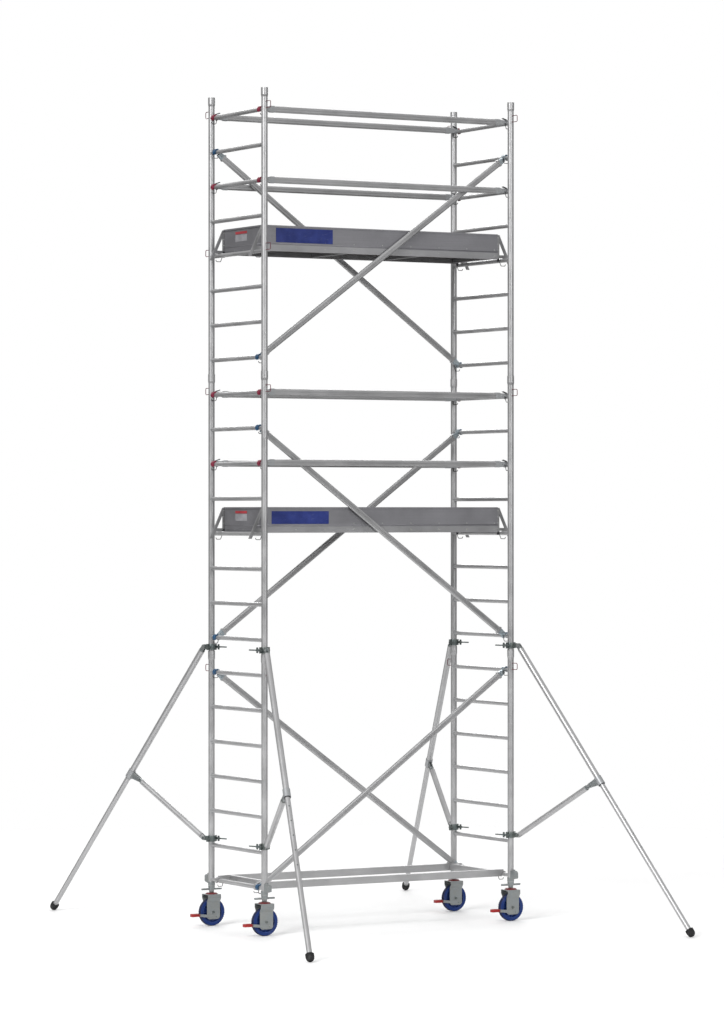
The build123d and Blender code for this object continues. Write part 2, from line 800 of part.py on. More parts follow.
def make_outrigger(bolt_angle):
    """All the pieces of one outrigger, in its own vertical plane with the post axis at the origin."""
    inner_radius = leg_bore - telescope_gap
    pin_radius = pin_diameter / 2
    small_pin = pin_radius - 1.0
    outer_tube = tube(
        top_pivot + leg_dir * end_fitting, leg_dir, leg_radius, leg_bore, leg_tube_end - end_fitting
    )
    inner_tube = tube(
        top_pivot + leg_dir * inner_tube_start,
        leg_dir,
        inner_radius,
        inner_radius - inner_tube_wall,
        leg_length - 6.0 - inner_tube_start,
    )
    strut_tube = tube(
        foot_pivot + strut_dir * end_fitting, strut_dir, strut_radius, strut_bore, strut_length - 2 * end_fitting
    )
    strut_foot = make_end_fork(strut_plane, 1, strut_bore, strut_radius, pin_radius + open_pivot_gap)
    strut_head = make_end_tongue(strut_pivot, strut_dir * -1, strut_bore, strut_radius, small_pin + running_gap)
    leg_head = make_end_fork(leg_plane, 1, leg_bore, leg_radius, pin_radius)
    return {
        "outrigger_upper_coupler": make_coupler(upper_coupler_z, bolt_angle, pin_radius + running_gap),
        "outrigger_leg": [
            outer_tube,
            leg_head,
            make_pin(top_pivot, pin_radius),
            make_mid_bracket(),
            make_pin(strut_pivot, small_pin),
        ],
        "outrigger_strut": [strut_tube, strut_foot, strut_head],
        "outrigger_lower_coupler": make_coupler(lower_coupler_z, bolt_angle, pin_radius)
        + [make_pin(foot_pivot, pin_radius)],
        "outrigger_extension": [inner_tube, make_foot()],
    }


for corner, (sx, sy) in corners.items():
    yaw = math.radians(outrigger_yaw)
    direction = Vector(sx * math.sin(yaw), sy * math.cos(yaw), 0)
    place = Plane(origin=(sx * half_length, sy * half_width, 0), x_dir=direction, z_dir=(0, 0, 1))
    bolt_turn = math.radians(bolt_yaw)
    bolt_heading = math.degrees(math.atan2(-sy * math.cos(bolt_turn), sy * math.sin(bolt_turn)))
    own_heading = math.degrees(math.atan2(direction.Y, direction.X))
    for node, pieces in make_outrigger(bolt_heading - own_heading).items():
        write(f"{node}_{corner}", [piece.moved(place.location) for piece in pieces])

# ---------------------------------------------------------------- guardrails and braces
claw_bore = rung_radius + hook_gap
claw_radius = claw_bore + claw_wall


def make_rail(length):
    """A grooved double-chamber extrusion along X, from the origin."""
    with BuildPart() as rail:
        with BuildSketch(Plane.YZ):
            RectangleRounded(rail_height, rail_depth, rail_depth / 2 - 1.0)
            with Locations((0, rail_depth / 2), (0, -rail_depth / 2)):
                Rectangle(rail_groove, rail_groove, mode=Mode.SUBTRACT)
            with Locations((-rail_height / 4, 0), (rail_height / 4, 0)):
                Circle(rail_bore / 2, mode=Mode.SUBTRACT)
        extrude(amount=length)
    return rail.part


def make_claw(arm_length, arm_angle, arm_rise, arm_height, width=claw_width):
    """A hook over a rung at the origin. X points into the bay, Y up, and it is width deep in Z."""
    with BuildPart() as claw:
        with BuildSketch():
            Circle(claw_radius)
            with Locations(Location((0, 0, 0), (0, 0, arm_angle))):
                with Locations((arm_length / 2, arm_rise)):
                    Rectangle(arm_length, arm_height)
            Circle(claw_bore, mode=Mode.SUBTRACT)
            with Locations((0, -claw_radius)):
                Rectangle(2 * claw_bore, 2 * claw_radius, mode=Mode.SUBTRACT)
        extrude(amount=width / 2, both=True)
    return max(claw.part.solids(), key=lambda solid: solid.volume)


def make_latch(pivot_x, pivot_z):
    """The bent wire that closes a hook under its rung, from its pivot on the hook's side."""
    bottom = -rung_radius - 26.0
    with BuildPart() as latch:
        with BuildLine() as latch_path:
            FilletPolyline(
                (pivot_x, pivot_z), (claw_radius - 4.0, bottom), (-12.0, bottom), (-18.0, bottom + 12.0), radius=6.0
            )
        start = latch_path.line @ 0
        with BuildSketch(Plane(origin=start, z_dir=latch_path.line % 0)):
            Circle(latch_wire / 2)
        sweep(path=latch_path.line)
    return latch.part


def on_rung(sx, y, rung_index):
    """Placement for a piece that hooks on a rung: X into the bay, Y up."""
    origin = (sx * half_length, y, rung_z(rung_index))
    return Plane(origin=origin, x_dir=(-sx, 0, 0), z_dir=(0, sx, 0)).location


def latch_on(sx, y, rung_index, offset):
    """The latch of a hook in the plane y, moved to the hook's side."""
    pivoted = bracket_latch if abs(offset) < claw_width / 4 else latch
    step = math.copysign(abs(offset) + latch_wire / 2 + latch_gap, offset)
    return pivoted.moved(on_rung(sx, y, rung_index)).moved(Location((0, step, 0)))


rail_claw = make_claw(guardrail_end_gap, 0.0, rail_above_rung, rail_height)
latch = make_latch(claw_radius + 6.0, 2.0)
bracket_latch = make_latch(platform_end_gap - 7.0, platform_above_rung + 7.0)
guardrail_length = tower_length - 2 * guardrail_end_gap
guardrail = make_rail(guardrail_length).rotate(Axis.X, 90)
guardrails = []
red_claws = []
latches = []
for k in guardrail_rungs:
    for sy in (-1, 1):
        y = sy * (half_width - guardrail_y_inset)
        start = (-guardrail_length / 2, y, rung_z(k) + rail_above_rung)
        guardrails.append(guardrail.moved(Location(start)))
        for sx in (-1, 1):
            red_claws.append(rail_claw.moved(on_rung(sx, y, k)))
            latches.append(latch_on(sx, y, k, sy * claw_width / 2))
write("guardrails", guardrails)
write("guardrail_claws", red_claws)

# each brace: side of the tower, the left rung and the right rung that it joins
brace_ends = (
    (-1, 0, 6),
    (1, 6, 0),
    (-1, 13, 7),
    (1, 7, 13),
    (-1, 15, 21),
    (1, 21, 15),
)
braces = []
blue_claws = []
for sy, left, right in brace_ends:
    y = sy * (half_width - brace_y_inset)
    low = Vector(-half_length, y, rung_z(left))
    span = Vector(half_length, y, rung_z(right)) - low
    along = span.normalized()
    rail_start = brace_end_gap + brace_fitting
    rail = make_rail(span.length - 2 * rail_start)
    rail_place = Plane(origin=low + along * rail_start, x_dir=along, z_dir=(0, -1, 0))
    braces.append(rail.moved(rail_place.location))
    for sx, origin, inward in ((-1, low, along), (1, low + span, along * -1)):
        with BuildPart() as fitting:
            with BuildSketch(Plane(origin=origin + inward * brace_end_gap, x_dir=(0, 1, 0), z_dir=inward)):
                Rectangle(rail_depth + 4.0, rail_height + 6.0)
            extrude(amount=brace_fitting)
        braces.append(fitting.part)
        angle = math.degrees(math.atan2(inward.Z, -sx * inward.X))
        claw = make_claw(brace_end_gap, angle, 0.0, rail_height - 3.0)
        k = left if sx < 0 else right
        blue_claws.append(claw.moved(on_rung(sx, y, k)))
        latches.append(latch_on(sx, y, k, sy * claw_width / 2))
write("diagonal_braces", braces)
write("brace_claws", blue_claws)

# ---------------------------------------------------------------- base chassis
chassis_y = half_width - chassis_y_inset
chassis_half = half_length - platform_end_gap
chassis_z = first_rung_z + chassis_above_rung


def make_beam(length, width, height, wall):
    """A rectangular tube along X, centred on the origin."""
    with BuildPart() as beam:
        with BuildSketch(Plane.YZ.offset(-length / 2)):
            Rectangle(width, height)
            Rectangle(width - 2 * wall, height - 2 * wall, mode=Mode.SUBTRACT)
        extrude(amount=length)
    return beam.part


chassis_rail = make_beam(2 * chassis_half, chassis_rail_width, chassis_rail_height, 2.5)
chassis_cross = make_beam(
    2 * chassis_y - chassis_rail_width, chassis_rail_width, chassis_rail_height, 2.5
).rotate(Axis.Z, 90)
chassis_claw = make_claw(platform_end_gap, 0.0, chassis_above_rung, chassis_rail_height, chassis_rail_width)
chassis = []
for s in (-1, 1):
    chassis.append(chassis_rail.moved(Location((0, s * chassis_y, chassis_z))))
    chassis.append(chassis_cross.moved(Location((s * (chassis_half - cross_member_inset), 0, chassis_z))))
    for sy in (-1, 1):
        chassis.append(chassis_claw.moved(on_rung(s, sy * chassis_y, 0)))
        latches.append(latch_on(s, sy * chassis_y, 0, -sy * chassis_rail_width / 2))
write("base_chassis", chassis)

# ---------------------------------------------------------------- platforms
platform_face = half_width - platform_y_inset
platform_half = half_length - platform_end_gap
rail_y = platform_face - platform_rail_width / 2
bay_half = platform_face - platform_rail_width
hatch_low_x = -platform_half + hatch_end_inset
hatch_high_x = hatch_low_x + hatch_length
hinge_y = hatch_width / 2 + 2.0
deck_top = platform_above_rung + platform_rail_height
hinge_z = deck_top + hinge_radius
member_xs = (
    -platform_half + member_width / 2,
    hatch_low_x - 10.0,
    hatch_high_x + 10.0,
    (hatch_high_x + platform_half) / 2,
    platform_half - member_width / 2,
)


def make_deck():
    """The deck panel with its hatch opening, z measured from the rung axis."""
    with BuildPart() as deck:
        with BuildSketch(Plane.XY.offset(deck_top - deck_thickness)):
            Rectangle(2 * platform_half, 2 * bay_half)
            with Locations(((hatch_low_x + hatch_high_x) / 2, 0)):
                Rectangle(hatch_length + 2 * hatch_gap, hatch_width + 2 * hatch_gap, mode=Mode.SUBTRACT)
        extrude(amount=deck_thickness)
    return deck.part


def make_knuckle(x, length, leaf_dir):
    """One knuckle of a hatch hinge with its leaf on the deck or the hatch."""
    with BuildPart() as knuckle:
        with BuildSketch(Plane.YZ.offset(x)):
            with Locations((hinge_y, hinge_z)):
                Circle(hinge_radius)
            with Locations((hinge_y + leaf_dir * hinge_leaf / 2, deck_top + 1.0)):
                Rectangle(hinge_leaf, 2.0)
            with Locations((hinge_y, hinge_z)):
                Circle(hinge_pin / 2 + (running_gap if leaf_dir < 0 else 0.0), mode=Mode.SUBTRACT)
        extrude(amount=length)
    return knuckle.part


def make_hatch():
    """The hatch panel and its hinge knuckles."""
    with BuildPart() as panel:
        with BuildSketch(Plane.XY.offset(deck_top - deck_thickness)):
            with Locations(((hatch_low_x + hatch_high_x) / 2, 0)):
                Rectangle(hatch_length, hatch_width)
        extrude(amount=deck_thickness)
    pieces = [panel.part]
    for start in (hatch_low_x + hinge_inset, hatch_high_x - hinge_inset - hinge_knuckle):
        pieces.append(make_knuckle(start, hinge_knuckle, -1))
    return pieces


def make_hinge_fixed():
    """The fixed knuckles and the pins of the hatch hinges."""
    pieces = []
    for start in (hatch_low_x + hinge_inset, hatch_high_x - hinge_inset - hinge_knuckle):
        outer = hinge_knuckle / 2
        pieces.append(make_knuckle(start - outer - running_gap, outer, 1))
        pieces.append(make_knuckle(start + hinge_knuckle + running_gap, outer, 1))
        pin_start = (start - outer - running_gap, hinge_y, hinge_z)
        pieces.append(tube(pin_start, (1, 0, 0), hinge_pin / 2, 0, 2 * (hinge_knuckle + running_gap)))
    return pieces


def make_side_board(sy):
    """A long toe board with a bead along its top and a lip on the rail."""
    outer = platform_face - 2.0
    with BuildPart() as board:
        with BuildSketch(Plane.YZ.offset(-platform_half)):
            with Locations((sy * (outer - toe_board_thickness / 2), deck_top + toe_board_height / 2)):
                Rectangle(toe_board_thickness, toe_board_height)
            with Locations((sy * (outer - toe_board_thickness / 2), deck_top + toe_board_height - toe_bead / 2)):
                Rectangle(toe_bead - 2.0, toe_bead)
            with Locations((sy * (outer - toe_bead / 2), deck_top + 2.0)):
                Rectangle(toe_bead, 4.0)
        extrude(amount=2 * platform_half)
    return board.part


def make_end_board():
    """A short toe board across the platform's end, from x = 0 outwards."""
    half = platform_face - 14.0
    with BuildPart() as board:
        with BuildSketch(Plane.XZ.offset(-half)):
            with Locations((toe_board_thickness / 2, (deck_top + toe_board_height + 12.0) / 2)):
                Rectangle(toe_board_thickness, deck_top + toe_board_height - 12.0)
            with Locations((toe_bead / 2, deck_top + toe_board_height - toe_bead / 2)):
                Rectangle(toe_bead, toe_bead)
            with Locations((toe_bead / 2, 16.0)):
                Rectangle(toe_bead, 8.0)
        extrude(amount=2 * half)
    return board.part


def make_end_bracket():
    """The triangular hook bracket: it rests on the rung and its slanted arm passes outside it."""
    top = deck_top + toe_board_height - 4.0
    arm_run = bracket_foot_out + platform_end_gap - 6.0
    arm_rise = bracket_foot_down + top
    per_rise = arm_run / arm_rise
    half_arm = bracket_arm / 2 * math.hypot(1.0, per_rise)

    def arm_x(z):
        return -bracket_foot_out + (z + bracket_foot_down) * per_rise

    inner_x = platform_end_gap - 18.0
    leg_low = rung_radius + hook_gap
    leg_high = leg_low + bracket_arm
    inner_top = (inner_x - half_arm + bracket_foot_out) / per_rise - bracket_foot_down
    with BuildPart() as bracket:
        with BuildSketch():
            with BuildLine():
                Polyline(
                    (platform_end_gap, platform_above_rung),
                    (platform_end_gap, top),
                    (arm_x(top) - half_arm, top),
                    (-bracket_foot_out - half_arm, -bracket_foot_down),
                    (-bracket_foot_out + half_arm, -bracket_foot_down),
                    (arm_x(leg_low) + half_arm, leg_low),
                    (platform_end_gap - 14.0, leg_low),
                    (platform_end_gap - 14.0, platform_above_rung),
                    close=True,
                )
            make_face()
            with BuildLine():
                Polyline(
                    (inner_x, leg_high),
                    (arm_x(leg_high) + half_arm, leg_high),
                    (inner_x, inner_top),
                    close=True,
                )
            make_face(mode=Mode.SUBTRACT)
        extrude(amount=bracket_sheet / 2, both=True)
    return bracket.part


deck = make_deck()
end_board = make_end_board()
end_bracket = make_end_bracket()
hinge_fixed = make_hinge_fixed()
hatch = make_hatch()
platform_rail = make_beam(2 * platform_half, platform_rail_width, platform_rail_height, 2.5)
member = make_beam(2 * bay_half, member_width, member_height, 2.5).rotate(Axis.Z, 90)
platform_frames = []
platform_brackets = []
decks = []
toe_boards = []
for k, level in zip(platform_rungs, ("lower", "upper")):
    z = rung_z(k)
    lift = Location((0, 0, z))
    for s in (-1, 1):
        rail_at = (0, s * rail_y, z + platform_above_rung + platform_rail_height / 2)
        platform_frames.append(platform_rail.moved(Location(rail_at)))
        toe_boards.append(make_side_board(s).moved(lift))
        end_place = Location((s * platform_half, 0, z), (0, 0, 0 if s > 0 else 180))
        toe_boards.append(end_board.moved(end_place))
        for sy in (-1, 1):
            y = sy * (platform_face - 7.0)
            platform_brackets.append(end_bracket.moved(on_rung(s, y, k)))
            latches.append(latch_on(s, y, k, sy * bracket_sheet / 2))
    for x in member_xs:
        member_z = z + deck_top - deck_thickness - member_height / 2
        platform_frames.append(member.moved(Location((x, 0, member_z))))
    platform_frames += [piece.moved(lift) for piece in hinge_fixed]
    decks.append(deck.moved(lift))
    write(f"deck_hatch_{level}", [piece.moved(lift) for piece in hatch])
write("platform_frames", platform_frames)
write("platform_brackets", platform_brackets)
write("platform_decks", decks)
write("toe_boards", toe_boards)
write("claw_latches", latches)
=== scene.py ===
"""The looks of a mobile tower scaffold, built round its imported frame. Metres, Z up, X along the tower."""

import json
import math

import bmesh
import bpy
from mathutils import Matrix, Vector


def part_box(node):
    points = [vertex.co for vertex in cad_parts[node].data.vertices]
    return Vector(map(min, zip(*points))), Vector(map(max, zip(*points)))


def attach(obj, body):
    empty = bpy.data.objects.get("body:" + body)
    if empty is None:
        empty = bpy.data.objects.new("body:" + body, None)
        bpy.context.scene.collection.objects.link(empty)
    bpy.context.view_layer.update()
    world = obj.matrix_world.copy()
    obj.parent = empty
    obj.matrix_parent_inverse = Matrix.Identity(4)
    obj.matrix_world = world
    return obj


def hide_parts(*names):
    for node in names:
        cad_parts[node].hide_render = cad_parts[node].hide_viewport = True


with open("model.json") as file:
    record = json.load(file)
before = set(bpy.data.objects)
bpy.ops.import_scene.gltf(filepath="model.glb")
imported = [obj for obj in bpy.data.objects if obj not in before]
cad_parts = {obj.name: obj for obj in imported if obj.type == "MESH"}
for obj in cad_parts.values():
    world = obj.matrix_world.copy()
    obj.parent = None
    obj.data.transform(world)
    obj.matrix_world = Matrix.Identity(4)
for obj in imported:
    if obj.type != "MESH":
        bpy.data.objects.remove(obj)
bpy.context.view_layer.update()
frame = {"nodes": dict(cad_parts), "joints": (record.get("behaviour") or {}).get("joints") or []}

# ---------------------------------------------------------------- sizes read from the frame
joints = {joint["name"]: joint for joint in frame["joints"]}
CORNERS = ("front_left", "front_right", "back_left", "back_right")
corner_at = {corner: Vector(joints[f"swivel_{corner}"]["pos_m"]) for corner in CORNERS}
HALF_LENGTH = corner_at["front_right"].x
HALF_WIDTH = corner_at["back_right"].y

HINGE_RISE = 0.006                # from a deck's top to its hatch hinge
DECK_RISE = 0.052                 # from a rung's axis to the deck's top
PLATFORM_RUNGS = {"lower": 10, "upper": 18}
deck_top = {level: joints[f"hatch_hinge_{level}"]["pos_m"][2] - HINGE_RISE for level in PLATFORM_RUNGS}
RUNG_PITCH = (deck_top["upper"] - deck_top["lower"]) / (PLATFORM_RUNGS["upper"] - PLATFORM_RUNGS["lower"])
FIRST_RUNG = deck_top["lower"] - DECK_RISE - RUNG_PITCH * PLATFORM_RUNGS["lower"]
SECTIONS = {"base": range(0, 7), "middle": range(7, 15), "top": range(15, 23)}
SIDES = {"left": -1, "right": 1}

POST_RADIUS = 0.0225
RUNG_RADIUS = 0.015
GUARDRAIL_RUNGS = (12, 14, 20, 22)
# side of the tower, the left rung and the right rung that each diagonal brace joins
BRACES = ((-1, 0, 6), (1, 6, 0), (-1, 13, 7), (1, 7, 13), (-1, 15, 21), (1, 21, 15))


def rung_z(index):
    """Height of a rung's axis, counted from 0 at the base."""
    return FIRST_RUNG + RUNG_PITCH * index


# ---------------------------------------------------------------- shader helpers
EDGE_RADIUS = 0.0015              # how far wear reaches from an edge


class Shader:
    """A material and short calls that add nodes to it."""

    def __init__(self, name):
        self.material = bpy.data.materials.new(name)
        self.material.use_nodes = True
        self.tree = self.material.node_tree
        self.surface = self.tree.nodes["Principled BSDF"]
        self.place = self.add("ShaderNodeTexCoord").outputs["Object"]

    def add(self, kind, **settings):
        node = self.tree.nodes.new(kind)
        for key, value in settings.items():
            setattr(node, key, value)
        return node

    def join(self, source, target):
        """Link a socket, or set a plain value, on an input."""
        if isinstance(source, bpy.types.NodeSocket):
            self.tree.links.new(source, target)
        else:
            target.default_value = source

    def maths(self, operation, first, second=0.0):
        node = self.add("ShaderNodeMath", operation=operation)
        self.join(first, node.inputs[0])
        self.join(second, node.inputs[1])
        return node.outputs[0]

    def vector(self, operation, first, second=(0, 0, 0), scale=None):
        node = self.add("ShaderNodeVectorMath", operation=operation)
        self.join(first, node.inputs[0])
        self.join(second, node.inputs[1])
        if scale is not None:
            self.join(scale, node.inputs["Scale"])
        return node.outputs["Value" if operation == "DOT_PRODUCT" else "Vector"]

    def axis(self, name, source=None):
        """One coordinate of a point."""
        node = self.add("ShaderNodeSeparateXYZ")
        self.join(self.place if source is None else source, node.inputs[0])
        return node.outputs[name]

    def noise(self, scale, detail, roughness=0.55, place=None):
        node = self.add("ShaderNodeTexNoise")
        self.join(self.place if place is None else place, node.inputs["Vector"])
        node.inputs["Scale"].default_value = scale
        node.inputs["Detail"].default_value = detail
        node.inputs["Roughness"].default_value = roughness
        return node.outputs["Fac"]

    def stretched(self, direction, along, across):
        """The place, scaled by along in one direction and by across in the others."""
        unit = Vector(direction).normalized()
        run = self.vector("DOT_PRODUCT", self.place, tuple(unit))
        lengthwise = self.vector("SCALE", tuple(unit), scale=self.maths("MULTIPLY", run, along - across))
        return self.vector("ADD", self.vector("SCALE", self.place, scale=across), lengthwise)

    def span(self, value, low, high, out_low=0.0, out_high=1.0):
        """Value mapped from one range to another, and held at the ends."""
        node = self.add("ShaderNodeMapRange")
        self.join(value, node.inputs["Value"])
        ends = {"From Min": low, "From Max": high, "To Min": out_low, "To Max": out_high}
        for socket, number in ends.items():
            node.inputs[socket].default_value = number
        return node.outputs["Result"]

    def blend(self, share, first, second):
        node = self.add("ShaderNodeMix", data_type="RGBA")
        self.join(share, node.inputs[0])
        for value, socket in ((first, node.inputs[6]), (second, node.inputs[7])):
            self.join(value if isinstance(value, bpy.types.NodeSocket) else (*value, 1.0), socket)
        return node.outputs[2]

    def bump(self, height, distance, strength):
        node = self.add("ShaderNodeBump")
        node.inputs["Strength"].default_value = strength
        node.inputs["Distance"].default_value = distance
        self.join(height, node.inputs["Height"])
        self.join(node.outputs["Normal"], self.surface.inputs["Normal"])

    def edge(self):
        """1 along convex and concave edges, 0 on open faces."""
        rounded = self.add("ShaderNodeBevel", samples=4)
        rounded.inputs["Radius"].default_value = EDGE_RADIUS
        flat = self.add("ShaderNodeNewGeometry").outputs["Normal"]
        return self.span(self.vector("DOT_PRODUCT", rounded.outputs[0], flat), 0.985, 0.90)

    def finish(self, colour, roughness, metallic=0.0, specular=0.5):
        colour = colour if isinstance(colour, bpy.types.NodeSocket) else (*colour, 1.0)
        self.join(colour, self.surface.inputs["Base Color"])
        self.join(roughness, self.surface.inputs["Roughness"])
        self.surface.inputs["Metallic"].default_value = metallic
        self.surface.inputs["Specular IOR Level"].default_value = specular
        return self.material


# ---------------------------------------------------------------- materials
GRIP_PITCH = 0.0026               # of the fine ribs round a rung
GRIP_SHARE = 0.8                  # of the bump that they make up
MESH_PITCH = 0.009                # of the pattern pressed into a deck
PLY_PITCH = 0.0028


def shade(colour, factor):
    """A colour made darker or lighter, and held at 1."""
    return tuple(min(1.0, c * factor) for c in colour)


def drawn_metal(name, colour, direction, rough=(0.30, 0.44)):
    """Aluminium with die lines along one direction and a faint cloudy oxide."""
    m = Shader(name)
    grain = m.noise(1.0, 2.0, 0.6, m.stretched(direction, 2.0, 300.0))
    cloud = m.noise(5.0, 5.0, 0.55)
    scuff = m.noise(60.0, 3.0, 0.7)
    dark = shade(colour, 0.90)
    light = shade(colour, 1.05)
    tone = m.blend(m.span(cloud, 0.35, 0.68), dark, light)
    tone = m.blend(m.span(grain, 0.35, 0.65, 0.0, 0.5), tone, shade(colour, 0.84))
    tone = m.blend(m.span(scuff, 0.64, 0.78, 0.0, 0.22), tone, shade(colour, 0.6))
    m.bump(m.maths("ADD", grain, m.maths("MULTIPLY", scuff, 0.4)), 0.0001, 0.15)
    finish = m.maths("ADD", m.span(cloud, 0.3, 0.7, *rough), m.span(scuff, 0.5, 0.8, 0.0, 0.12))
    return m.finish(tone, finish, metallic=0.75)


def rung_metal(name, colour, post_side):
    """Ladder frame tube: posts drawn along Z, rungs drawn along Y with fine grip ribs."""
    m = Shader(name)
    is_post = m.maths("GREATER_THAN", m.maths("ABSOLUTE", m.axis("Y")), post_side)
    upright = m.noise(1.0, 2.0, 0.6, m.stretched((0, 0, 1), 2.0, 900.0))
    level = m.noise(1.0, 2.0, 0.6, m.stretched((0, 1, 0), 2.0, 900.0))
    is_rung = m.maths("SUBTRACT", 1.0, is_post)
    grain = m.maths("ADD", m.maths("MULTIPLY", is_post, upright), m.maths("MULTIPLY", is_rung, level))
    ribs = m.maths("SINE", m.maths("MULTIPLY", m.axis("Z"), 2 * math.pi / GRIP_PITCH))
    ribs = m.maths("MULTIPLY", is_rung, m.maths("MULTIPLY", ribs, GRIP_SHARE))
    cloud = m.noise(5.0, 6.0, 0.6)
    smear = m.noise(1.0, 4.0, 0.6, m.stretched((0, 0, 1), 6.0, 40.0))
    dark = shade(colour, 0.86)
    light = shade(colour, 1.06)
    tone = m.blend(m.span(cloud, 0.35, 0.68), dark, light)
    tone = m.blend(m.span(grain, 0.35, 0.65, 0.0, 0.3), tone, dark)
    tone = m.blend(m.span(smear, 0.60, 0.78, 0.0, 0.28), tone, shade(colour, 0.62))
    m.bump(m.maths("ADD", grain, ribs), 0.0003, 0.5)
    return m.finish(tone, m.span(cloud, 0.3, 0.7, 0.30, 0.48), metallic=0.72)


def zinc(name, colour, warm=(0.42, 0.38, 0.26), rough=(0.28, 0.5)):
    """Zinc plate: a mottled passivated film with a warm cast in places and worn edges."""
    m = Shader(name)
    cell = m.add("ShaderNodeTexVoronoi")
    m.join(m.place, cell.inputs["Vector"])
    cell.inputs["Scale"].default_value = 160.0
    cloud = m.noise(22.0, 5.0, 0.6)
    tone = m.blend(m.span(cloud, 0.45, 0.75, 0.0, 0.55), colour, warm)
    tone = m.blend(m.span(cell.outputs["Distance"], 0.0, 0.8, 0.0, 0.35), tone, shade(colour, 0.7))
    tone = m.blend(m.maths("MULTIPLY", m.edge(), 0.5), tone, (0.6, 0.6, 0.58))
    m.bump(m.noise(300.0, 3.0), 0.0002, 0.4)
    return m.finish(tone, m.span(cloud, 0.3, 0.7, *rough), metallic=0.7)


def moulded(name, colour, worn, rough=(0.34, 0.5)):
    """Moulded plastic: fine spark grain, slight colour drift, scuffs and paler worn edges."""
    m = Shader(name)
    drift = m.noise(14.0, 4.0, 0.6)
    scuff = m.noise(1.0, 4.0, 0.7, m.stretched((1, 0.3, 0.2), 30.0, 220.0))
    tone = m.blend(m.span(drift, 0.3, 0.7), shade(colour, 0.72), shade(colour, 1.15))
    tone = m.blend(m.span(scuff, 0.62, 0.76, 0.0, 0.4), tone, worn)
    tone = m.blend(m.maths("MULTIPLY", m.edge(), 0.45), tone, worn)
    m.bump(m.maths("ADD", m.noise(900.0, 2.0), m.maths("MULTIPLY", scuff, 0.7)), 0.00025, 0.5)
    return m.finish(tone, m.span(drift, 0.3, 0.7, *rough), specular=0.45)


def rubber(name, colour):
    """Rubber: matt, dusty where it has rolled, with a fine grain."""
    m = Shader(name)
    dust = m.noise(35.0, 6.0, 0.65)
    tone = m.blend(m.span(dust, 0.5, 0.78, 0.0, 0.55), colour, tuple(0.5 * c + 0.09 for c in colour))
    m.bump(m.maths("ADD", m.noise(700.0, 2.0), dust), 0.0003, 0.6)
    return m.finish(tone, m.span(dust, 0.3, 0.7, 0.55, 0.85), specular=0.3)


def film_ply(name):
    """Film-faced plywood: a dark mesh-pressed film above, smooth film below, and bare plies at the edges."""
    m = Shader(name)
    x, y, z = (m.axis(a) for a in "XYZ")
    slants = [m.maths(operation, x, y) for operation in ("ADD", "SUBTRACT")]
    waves = [m.maths("SINE", m.maths("MULTIPLY", slant, 2 * math.pi / MESH_PITCH)) for slant in slants]
    press = m.maths("MAXIMUM", *waves)
    upwards = m.axis("Z", m.add("ShaderNodeTexCoord").outputs["Normal"])
    is_top = m.maths("GREATER_THAN", upwards, 0.5)
    is_edge = m.maths("LESS_THAN", m.maths("ABSOLUTE", upwards), 0.5)
    cloud = m.noise(9.0, 6.0, 0.6)
    tone = m.blend(m.span(cloud, 0.3, 0.7), (0.010, 0.007, 0.005), (0.026, 0.018, 0.013))
    wear = m.maths("MULTIPLY", is_top, m.span(m.noise(3.0, 5.0, 0.65), 0.5, 0.72, 0.0, 0.6))
    tone = m.blend(wear, tone, (0.12, 0.10, 0.085))
    plies = m.maths("SINE", m.maths("MULTIPLY", z, 2 * math.pi / PLY_PITCH))
    ply_tone = m.blend(m.span(plies, -0.4, 0.4), (0.20, 0.12, 0.06), (0.34, 0.23, 0.13))
    tone = m.blend(is_edge, tone, ply_tone)
    height = m.maths("ADD", m.maths("MULTIPLY", is_top, press), m.maths("MULTIPLY", m.noise(250.0, 3.0), 0.4))
    m.bump(height, 0.0005, 0.7)
    return m.finish(tone, m.span(cloud, 0.3, 0.7, 0.32, 0.55), specular=0.4)


def sticker(name, colour):
    """A printed label: a satin film that has faded and scratched a little."""
    m = Shader(name)
    fade = m.noise(12.0, 5.0, 0.6)
    scratch = m.noise(1.0, 3.0, 0.7, m.stretched((1, 0, 0.2), 12.0, 500.0))
    fresh = tuple(min(1.0, c * 1.2 + 0.01) for c in colour)
    tone = m.blend(m.span(fade, 0.35, 0.7), shade(colour, 0.8), fresh)
    tone = m.blend(m.span(scratch, 0.64, 0.74, 0.0, 0.5), tone, (0.5, 0.5, 0.5))
    m.bump(scratch, 0.0001, 0.3)
    return m.finish(tone, m.span(fade, 0.3, 0.7, 0.3, 0.45), specular=0.5)


POST_SIDE = HALF_WIDTH - POST_RADIUS - 0.0005
ALUMINIUM = (0.47, 0.47, 0.475)
frame_metal = rung_metal("frame_tube", ALUMINIUM, POST_SIDE)
rail_metal = drawn_metal("rail_extrusion", (0.43, 0.43, 0.435), (1, 0, 0))
cross_metal = drawn_metal("platform_extrusion", (0.40, 0.40, 0.41), (1, 0, 0))
board_metal = drawn_metal("toe_board_sheet", (0.27, 0.268, 0.285), (1, 0, 0), rough=(0.42, 0.6))
plate_metal = drawn_metal("bracket_plate", (0.32, 0.32, 0.325), (0, 0, 1), rough=(0.4, 0.58))
cast_metal = drawn_metal("cast_arm", (0.40, 0.41, 0.42), (1, 0, 0), rough=(0.42, 0.6))
BRACE_RISE = RUNG_PITCH * 6
brace_rising = drawn_metal("brace_rising", (0.44, 0.44, 0.445), (2 * HALF_LENGTH, 0, BRACE_RISE))
brace_falling = drawn_metal("brace_falling", (0.44, 0.44, 0.445), (2 * HALF_LENGTH, 0, -BRACE_RISE))
fitting_metal = zinc("brace_fitting", (0.36, 0.42, 0.46), warm=(0.40, 0.42, 0.41))
zinc_plate = zinc("zinc_plate", (0.275, 0.295, 0.30), warm=(0.31, 0.305, 0.27))
zinc_bright = zinc("zinc_bright", (0.40, 0.42, 0.41))
